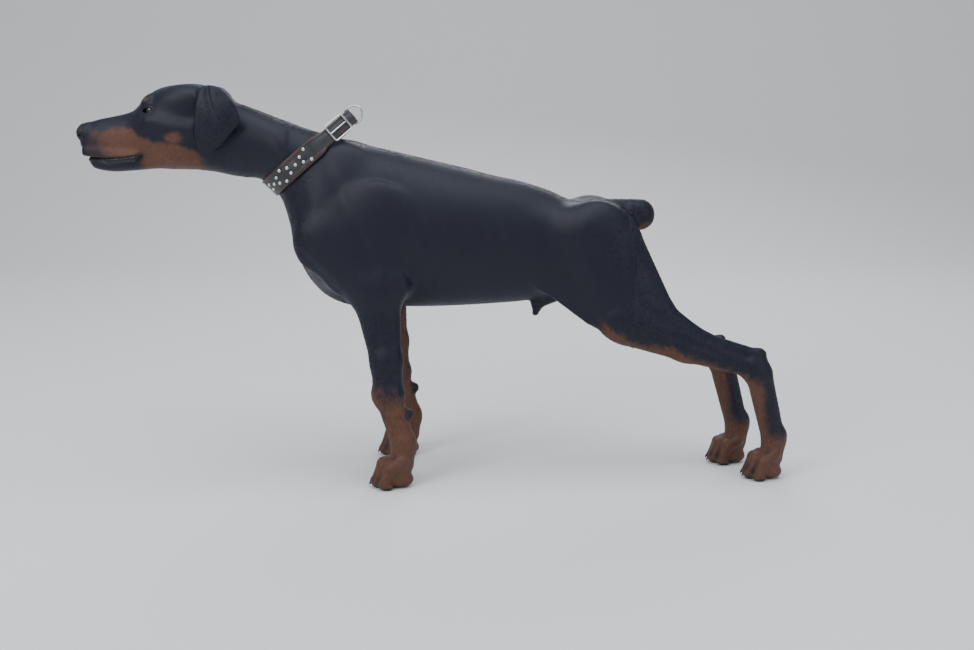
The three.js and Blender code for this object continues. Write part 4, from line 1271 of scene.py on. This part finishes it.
LOOP_RUN = rounded_loop(LOOP)
LOOP_RUN = np.vstack([LOOP_RUN, LOOP_RUN[:1]])
LOOP_PLACE = np.concatenate([[0], np.cumsum(np.linalg.norm(np.diff(LOOP_RUN, axis=0), axis=1))])
LOOP_TURN = LOOP_PLACE[-1]


def on_loop(around):
    around = np.mod(around, LOOP_TURN)
    return np.stack([np.interp(around, LOOP_PLACE, LOOP_RUN[:, a]) for a in range(3)], -1)


def strap_points(around, across, height):
    """Places on the strap: how far round from the throat, how far across, and how high in its thickness."""
    around, across, height = np.broadcast_arrays(*(np.asarray(a, float) for a in (around, across, height)))
    shape = around.shape
    around, across, height = around.ravel(), across.ravel(), height.ravel()
    point = on_loop(around)
    forward = unit(on_loop(around + 0.5) - on_loop(around - 0.5))
    out = unit(np.cross(forward, LOOP_ACROSS))
    inward = ((point - loop_point(LOOP_LENGTH * 0.4, 0)) * out).sum(1) < 0
    out[inward] *= -1
    edge = point + LOOP_ACROSS * across[:, None]
    for _ in range(16):
        short = STRAP_CLEAR - evaluate(flesh, *edge.T)
        edge = edge + out * np.maximum(short, 0)[:, None]
    placed = edge + out * height[:, None]
    return placed.reshape(*shape, 3), out.reshape(*shape, 3), forward.reshape(*shape, 3)


def strap_half(around):
    around = np.mod(around + LOOP_TURN / 2, LOOP_TURN) - LOOP_TURN / 2
    from_top = np.abs(np.abs(around) - LOOP_TURN / 2)
    return NARROW_HALF + (WIDE_HALF - NARROW_HALF) * smooth(from_top, 62, 92)


STRAP_STEPS = 260
STRAP_EDGE = 1.0


def strap_section():
    """The strap's cross-section: [share across, inset from its edge, height], round its rounded edges."""
    section = []
    for s in (-1, 1):
        for turn in np.linspace(-90, 90, 5):
            a = math.radians(turn)
            section.append((s, STRAP_EDGE * (1 - math.cos(a)), STRAP_THICK / 2 * (1 - s * math.sin(a))))
        for share in (0.5, 0, -0.5):
            section.append((share, 0, 0.0 if s == -1 else STRAP_THICK))
    return section


EDGE_DYE = (0.055, 0.017, 0.014)
STITCH_COLOUR = (0.060, 0.020, 0.018)
STITCH_PITCH = 0.0042
STITCH_INSET = 0.0031
STITCH_HALF = 0.00042
DASH_HALF = 0.33  # of the pitch
GROOVE_HALF = 0.0007
DYE_FULL = 0.0010  # from the edge
DYE_END = 0.0022


def leather_material():
    """Black leather, reddish along its edges, with a line of stitches inside each edge."""
    look = Look("collar_leather")
    strap = look.node("ShaderNodeUVMap", uv_map="strap").outputs["UV"]
    split = look.node("ShaderNodeSeparateXYZ", {"Vector": strap})
    around, inset = split.outputs["X"], split.outputs["Y"]
    cloud = look.noise(60.0, 5.0)
    face = look.ramp(cloud, (0.3, (0.010, 0.010, 0.013)), (0.75, (0.030, 0.029, 0.036)))
    near_edge = look.spread(inset, DYE_END, DYE_FULL)
    dyed = look.math("MULTIPLY", near_edge, look.math("ADD", cloud, 0.35), clamp=True)
    wave = look.math("FRACT", look.math("MULTIPLY", around, 1 / STITCH_PITCH))
    dash = look.math("COMPARE", wave, 0.5, DASH_HALF)
    row = look.math("COMPARE", inset, STITCH_INSET, STITCH_HALF)
    stitch = look.math("MULTIPLY", dash, row)
    look.set({
        "Base Color": look.mix(stitch, look.mix(dyed, face, EDGE_DYE), STITCH_COLOUR),
        "Roughness": look.ramp(cloud, (0.2, 0.34), (0.8, 0.52)),
    })
    groove = look.math("COMPARE", inset, STITCH_INSET, GROOVE_HALF)
    relief = look.math("SUBTRACT", look.math("MULTIPLY", stitch, 1.2), groove)
    look.bump(look.math("MULTIPLY_ADD", look.cells(700.0), 0.6, relief), 0.45, 0.0004)
    return look.material


def metal_material():
    look = Look("collar_metal")
    cloud = look.noise(400.0, 5.0)
    look.set({
        "Base Color": look.ramp(cloud, (0.3, (0.50, 0.51, 0.53)), (0.7, (0.74, 0.75, 0.77))),
        "Roughness": look.ramp(cloud, (0.25, 0.16), (0.8, 0.34)),
        "Metallic": 1.0,
    })
    look.bump(cloud, 0.08, 0.0002)
    return look.material


leather_look = leather_material()
metal_look = metal_material()

section = strap_section()
around = (np.arange(STRAP_STEPS) / STRAP_STEPS - 0.5) * LOOP_TURN
halves = strap_half(around)
across = np.stack([s * (halves - (inset if abs(s) == 1 else 0)) for s, inset, _ in section], 1)
height = np.array([h for _, _, h in section])[None, :]
strap_rings, _, _ = strap_points(around[:, None], across, height)
strap_mesh = tube(list(strap_rings), closed=True)
strap = add_solid("collar_leather", [strap_mesh], leather_look)
ring_number, ring_place = np.divmod(corner_vertices(strap), len(section))
inset_of = (halves[:, None] - np.abs(across))[ring_number, ring_place]
set_map(strap, "strap", np.stack([around[ring_number], inset_of], 1) * MM)

STUD_STEP = 12.9
STUD_ROW = 10.5
STUD_RADIUS = 3.1
STUD_COUNT = 9
STUD_PROFILE = [(1.0, -0.4), (1.0, 0.35), (0.93, 0.85), (0.76, 1.45), (0.5, 1.9), (0.2, 2.1)]


def stud_part(point, out, forward):
    """A domed stud, from rings of a share of its radius and a rise."""
    side_way = np.cross(out, forward)
    return tube([
        round_ring(point + out * rise, STUD_RADIUS * share * forward, STUD_RADIUS * share * side_way, 16)
        for share, rise in STUD_PROFILE
    ])


studs = []
for i in range(-STUD_COUNT, STUD_COUNT + 1):
    phase = (i + 1) % 8
    zigzag = 1 - abs(4 - phase) / 2
    for row in ([0] if zigzag == 0 else [zigzag, -zigzag]):
        point, out, forward = strap_points(i * STUD_STEP, row * STUD_ROW, STRAP_THICK)
        studs.append(stud_part(point, out, forward))
stud_piece = add_solid("collar_studs", studs, metal_look)

RING_WIRE = 1.7
RING_HALF = 15
fold_inner = loop_point(LOOP_LENGTH, 0) + LOOP_ALONG * (-RING_WIRE - 3.4)


def wire(points, up, radius, sides=14):
    """A round wire along a closed run of points in one plane."""
    points = np.array(points)
    out = unit(np.cross(unit(np.roll(points, -1, 0) - np.roll(points, 1, 0)), up))
    return tube([round_ring(p, radius * o, radius * up, sides) for p, o in zip(points, out)], closed=True)


def rod(points, side_way, radius, sides=10):
    """A round rod along a run of points in one plane."""
    points = np.array(points)
    ahead = np.vstack([points[1:], points[-1:]]) - np.vstack([points[:1], points[:-1]])
    up = unit(np.cross(ahead, side_way))
    return tube([round_ring(p, radius * side_way, radius * u, sides) for p, u in zip(points, up)])


ring_points = [
    fold_inner + LOOP_ACROSS * RING_HALF * math.cos(t) + LOOP_ALONG * (4 + 20 * math.sin(t))
    for t in np.linspace(0, np.pi, 32)
]
ring_points += [fold_inner + LOOP_ACROSS * s for s in np.linspace(-(RING_HALF - 2.5), RING_HALF - 2.5, 8)]
across_neck = np.array([0.0, 1.0, 0.0])
d_ring = add_solid("collar_ring", [wire(ring_points, across_neck, RING_WIRE)], metal_look)

FRAME_WIRE = 1.8
FRAME_LONG = 19
FRAME_WIDE = 15
CORNER = 4
PRONG_RADIUS = 1.4
PRONG_LINE = ((FRAME_LONG + 1.5, 0.4), (FRAME_LONG - 2, 1.7), (6, 1.0), (-8, 1.0), (-FRAME_LONG - 1, 2.0))
buckle_around = -(LOOP_TURN / 2 - 36)
seat, seat_out, seat_forward = strap_points(buckle_around, 0, STRAP_THICK + 2.1)
frame_points = []
for cx, cy, quarter in ((1, 1, 0), (-1, 1, 1), (-1, -1, 2), (1, -1, 3)):
    for n in range(7):
        turn = math.pi / 2 * (quarter + n / 6)
        long = cx * (FRAME_LONG - CORNER) + CORNER * math.cos(turn)
        wide = cy * (FRAME_WIDE - CORNER) + CORNER * math.sin(turn)
        frame_points.append(seat + seat_forward * long + LOOP_ACROSS * wide)
prong_points = [
    seat + seat_forward * long + seat_out * lift
    for long, lift in PRONG_LINE
]
buckle = add_solid(
    "collar_frame",
    [wire(frame_points, seat_out, FRAME_WIRE), rod(prong_points, LOOP_ACROSS, PRONG_RADIUS)],
    metal_look,
)


# What each piece stands for

FLESH = ["head", "neck", "torso", "prepuce", "tail"]
for part in ("foreleg", "forepaw", "thigh", "shank", "metatarsus", "hindpaw", "ear"):
    FLESH += [f"{part}_{side_name}" for side_name in SIDES]
stands_for = [(skin, FLESH, "black_coat"), (nose, ["nose"], "nose_leather")]
for side_name, eye in eyes.items():
    stands_for.append((eye, [f"eye_{side_name}"], "eye"))
stands_for += [
    (strap, ["collar_strap"], "collar_leather"),
    (stud_piece, [], "collar_metal"),
    (d_ring, ["collar_d_ring"], "collar_metal"),
    (buckle, ["collar_buckle"], "collar_metal"),
]
for piece, nodes, slot_name in stands_for:
    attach(piece, "root")
    if nodes:
        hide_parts(*nodes)


# Coat: thin tufts that lie along the body, thickest where the form breaks against the light

def unwrap_of(field):
    """A coarse copy of the skin, unwrapped, as a tree to look places up in, its faces and their map."""
    lines = (grid_lines(-612, [(624, 12)]), grid_lines(-138, [(138, 9)]), grid_lines(-12, [(690, 12)]))
    points, quads = nets(field, lines)
    coarse = add_mesh("unwrap", points, quads)
    bpy.context.view_layer.objects.active = coarse
    coarse.select_set(True)
    bpy.ops.object.mode_set(mode="EDIT")
    bpy.ops.mesh.select_all(action="SELECT")
    bpy.ops.uv.smart_project(angle_limit=math.radians(66), island_margin=0.004)
    bpy.ops.object.mode_set(mode="OBJECT")
    layer = coarse.data.uv_layers.active.data
    faces = [tuple(face.vertices) for face in coarse.data.polygons]
    maps = [[Vector((*layer[n].uv, 0)) for n in face.loop_indices] for face in coarse.data.polygons]
    corners = [v.co.copy() for v in coarse.data.vertices]
    tree = BVHTree.FromPolygons(corners, faces)
    bpy.data.objects.remove(coarse)
    return tree, corners, faces, maps


def place_on_map(unwrap, point):
    """Where a point of the skin lies on the map."""
    tree, corners, faces, maps = unwrap
    hit, _, face, _ = tree.find_nearest(Vector(point))
    a, b, c = (corners[n] for n in faces[face][:3])
    ua, ub, uc = maps[face][:3]
    spot = barycentric_transform(hit, a, b, c, ua, ub, uc)
    return spot.x, spot.y


def lie_direction(x, y, z):
    """Which way the hair lies, before it is laid onto the skin."""
    side = np.abs(y)
    way = np.stack([np.ones(x.shape), np.zeros(x.shape), np.full(x.shape, -0.22)], 1)
    down = lie_of(x, y, z)[:, None]
    legs_way = np.stack([np.full(x.shape, 0.18), np.zeros(x.shape), -np.ones(x.shape)], 1)
    thigh = (smooth(x, 200, 260) * shade(x, 400, 470) * smooth(z, 230, 290))[:, None]
    way = way * (1 - down) + legs_way * down
    way = way * (1 - 0.6 * thigh) + np.array([0.5, 0, -0.85]) * 0.6 * thigh
    chest = (shade(x, -230, -190) * shade(z, 480, 540) * (side < 60))[:, None]
    return way * (1 - chest) + np.array([0.2, 0, -1.0]) * chest


def tuft_density(x, y, z):
    """How closely the tufts stand, against 1 where the coat breaks the form."""
    side = np.abs(y)
    ridge = shade(side, 6, 26) * smooth(x, -345, -320) * smooth(z, 420, 445)
    belly = shade(side, 10, 34) * shade(z, 300, 345) * smooth(x, -240, -200)
    breast = shade(x, -236, -196) * shade(z, 500, 560) * smooth(x, -330, -290)
    ham = smooth(x + 0.5 * (z - 300), 300, 345) * smooth(z, 190, 250) * shade(z, 420, 460)
    leg_backs = 0.8 * (z < 300) * (z > 30) * (side > 25)
    tail = 1.2 * (x > 300) * (z > 415)
    ears = 0.5 * lie_of(x, y, z) * (x < -300)
    face = 0.12 * (x < -400)
    return np.clip(np.maximum.reduce([ridge, belly, breast, ham, leg_backs, tail, ears, face]), 0.05, 2)


TUFT_SEED = 7
TUFT_LENGTH = (4.5, 3.0)  # the least, and how much more at most
TUFT_WIDTH = (0.26, 0.14)
TUFT_LIFT = (0.012, 0.050)
TUFT_FLAT = 0.4
TUFT_STATIONS = ((0.0, -0.6, 1.0), (0.5, 0.25, 0.8), (1.0, 1.0, 0.0))  # share of length, of lift, of width
EYE_CLEAR = 17  # no tufts nearer than this to the middle of an eye
PATCH = 0.003  # across each tuft's patch of the map
PATCH_PLACES = ((0, 0), (0.5, 0), (0.25, 0.5), (0.1, 0.2), (0.4, 0.3), (0.3, 0.45), (0.25, 0.25))
TUFT_TRIANGLES = np.array([
    (0, 1, 4), (0, 4, 3), (3, 4, 6), (1, 2, 5), (1, 5, 4), (4, 5, 6), (2, 0, 3), (2, 3, 5), (5, 3, 6),
    (2, 1, 0),
])


def tuft_weight(corner, area):
    """How many tufts each face of the skin gets, against the others."""
    middle = corner.mean(1)
    weight = area * tuft_density(*middle.T)
    weight = weight * (bare_amount(*middle.T) < 0.3) * (middle[:, 2] > 4)
    by_eye = np.linalg.norm(np.abs(middle) * [-1, 1, 1] - EYE, axis=1) < EYE_CLEAR
    return np.where(by_eye, 0, weight)


def tuft_meshes(pieces, each):
    """Tufts over the skin, shared out between pieces along the body."""
    rng = np.random.default_rng(TUFT_SEED)
    corner = skin_points[skin_quads]
    normal = np.cross(corner[:, 2] - corner[:, 0], corner[:, 3] - corner[:, 1]) / 2
    area = np.linalg.norm(normal, axis=1)
    normal = normal / np.maximum(area, 1e-9)[:, None]
    weight = tuft_weight(corner, area)
    total = pieces * each
    face = rng.choice(len(weight), total, p=weight / weight.sum())
    u, v = rng.random((2, total, 1))
    c = corner[face]
    root = (c[:, 0] * (1 - u) + c[:, 1] * u) * (1 - v) + (c[:, 3] * (1 - u) + c[:, 2] * u) * v
    out = normal[face]
    way = lie_direction(*root.T)
    way = way + 0.12 * rng.normal(size=way.shape)
    way -= out * (way * out).sum(1)[:, None]
    way /= np.linalg.norm(way, axis=1)[:, None] + 1e-9
    across = np.cross(out, way)
    x, y, z = root.T
    small = (1 - 0.45 * smooth(-x, 380, 460)) * (1 - 0.35 * shade(z, 60, 130))
    length = (TUFT_LENGTH[0] + TUFT_LENGTH[1] * rng.random(total)) * small
    width = (TUFT_WIDTH[0] + TUFT_WIDTH[1] * rng.random(total)) * small
    lift = TUFT_LIFT[0] + TUFT_LIFT[1] * rng.random(total) ** 2

    rings = []
    for share, rise, wide in TUFT_STATIONS:
        center = root + way * (length * share)[:, None] + out * (length * lift * rise * 1.6)[:, None]
        turns = [math.pi / 2 + 2 * math.pi * n / 3 for n in range(3)] if wide else [0.0]
        for turn in turns:
            aside = (width * wide * math.cos(turn))[:, None]
            up = (width * wide * TUFT_FLAT * math.sin(turn))[:, None]
            rings.append(center + across * aside + out * up)
    points = np.stack(rings, 1)
    per = points.shape[1]

    tan = tan_amount(x, y, z)
    down = lie_of(x, y, z)
    unwrap = unwrap_of(skin_field)
    spots = np.array([place_on_map(unwrap, p) for p in (root + SHIFT) * MM])
    offsets = np.array(PATCH_PLACES) * PATCH
    order = np.argsort(x, kind="stable")
    made = []
    for n in range(pieces):
        pick = order[n * each:(n + 1) * each]
        faces = (TUFT_TRIANGLES[None] + np.arange(each)[:, None, None] * per).reshape(-1, 3)
        piece = add_mesh(f"coat_{n + 1}", points[pick].reshape(-1, 3), faces)
        add_attribute(piece, "tan", np.repeat(tan[pick], per))
        add_attribute(piece, "down", np.repeat(down[pick], per))
        tuft, place = np.divmod(corner_vertices(piece), per)
        set_map(piece, "OFBake", spots[pick][tuft] + offsets[place])
        made.append(piece)
    return made


COAT_PIECES = 3
TUFTS_EACH = 13000
coat_pieces = tuft_meshes(COAT_PIECES, TUFTS_EACH)
for piece in coat_pieces:
    piece.data.materials.append(coat_look)
    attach(piece, "root")


# Floor, light and camera

FLOOR_HALF = 9.0
BEND_START = 2.2
BEND_RADIUS = 1.8
WALL_TOP = 9.0
bend = [(-FLOOR_HALF, 0.0), (BEND_START, 0.0)]
for turn in np.linspace(0.1, math.pi / 2, 14):
    bend.append((BEND_START + BEND_RADIUS * math.sin(turn), BEND_RADIUS * (1 - math.cos(turn))))
bend.append((BEND_START + BEND_RADIUS, WALL_TOP))
floor_points = np.array([(s * FLOOR_HALF, y, z) for y, z in bend for s in (-1, 1)]) / MM - SHIFT
floor_faces = np.array([(2 * i, 2 * i + 1, 2 * i + 3, 2 * i + 2) for i in range(len(bend) - 1)])
floor = add_mesh("floor", floor_points, floor_faces)
floor_look = Look("pale_floor")
floor_look.set({"Base Color": (0.78, 0.78, 0.77), "Roughness": 0.9})
floor.data.materials.append(floor_look.material)


def area_light(name, place, target, power, size, colour):
    data = bpy.data.lights.new(name, "AREA")
    data.energy = power
    data.shape = "RECTANGLE"
    data.size, data.size_y = size
    data.color = colour
    lamp = bpy.data.objects.new(name, data)
    bpy.context.scene.collection.objects.link(lamp)
    lamp.location = place
    lamp.rotation_euler = (Vector(target) - Vector(place)).to_track_quat("-Z", "Y").to_euler()


BODY_MIDDLE = (0, 0, 0.4)
area_light("sky", (0.0, -0.6, 3.0), BODY_MIDDLE, 75, (3.2, 2.4), (0.86, 0.92, 1.0))
area_light("key", (-1.9, -2.2, 2.1), BODY_MIDDLE, 42, (1.4, 1.4), (1.0, 0.98, 0.95))
area_light("fill", (2.4, -2.0, 1.0), BODY_MIDDLE, 14, (1.6, 1.6), (0.9, 0.95, 1.0))
area_light("rim", (0.6, 2.4, 1.9), BODY_MIDDLE, 26, (1.8, 1.2), (0.95, 0.97, 1.0))

world = bpy.data.worlds.new("studio")
bpy.context.scene.world = world
world.use_nodes = True
background = world.node_tree.nodes["Background"]
background.inputs["Color"].default_value = (0.86, 0.90, 0.96, 1)
background.inputs["Strength"].default_value = 0.55

SENSOR = 36.0
IMAGE_WIDTH = 974
FOCAL_PIXELS = 1300
CAMERA_PITCH = 11.8
CAMERA_PLACE = (0.0846, -2.2, 0.72)
camera_data = bpy.data.cameras.new("camera")
camera_data.sensor_width = SENSOR
camera_data.lens = SENSOR * FOCAL_PIXELS / IMAGE_WIDTH
camera = bpy.data.objects.new("camera", camera_data)
bpy.context.scene.collection.objects.link(camera)
camera.location = CAMERA_PLACE
camera.rotation_euler = (math.radians(90 - CAMERA_PITCH), 0, 0)
bpy.context.scene.camera = camera

bpy.context.view_layer.update()
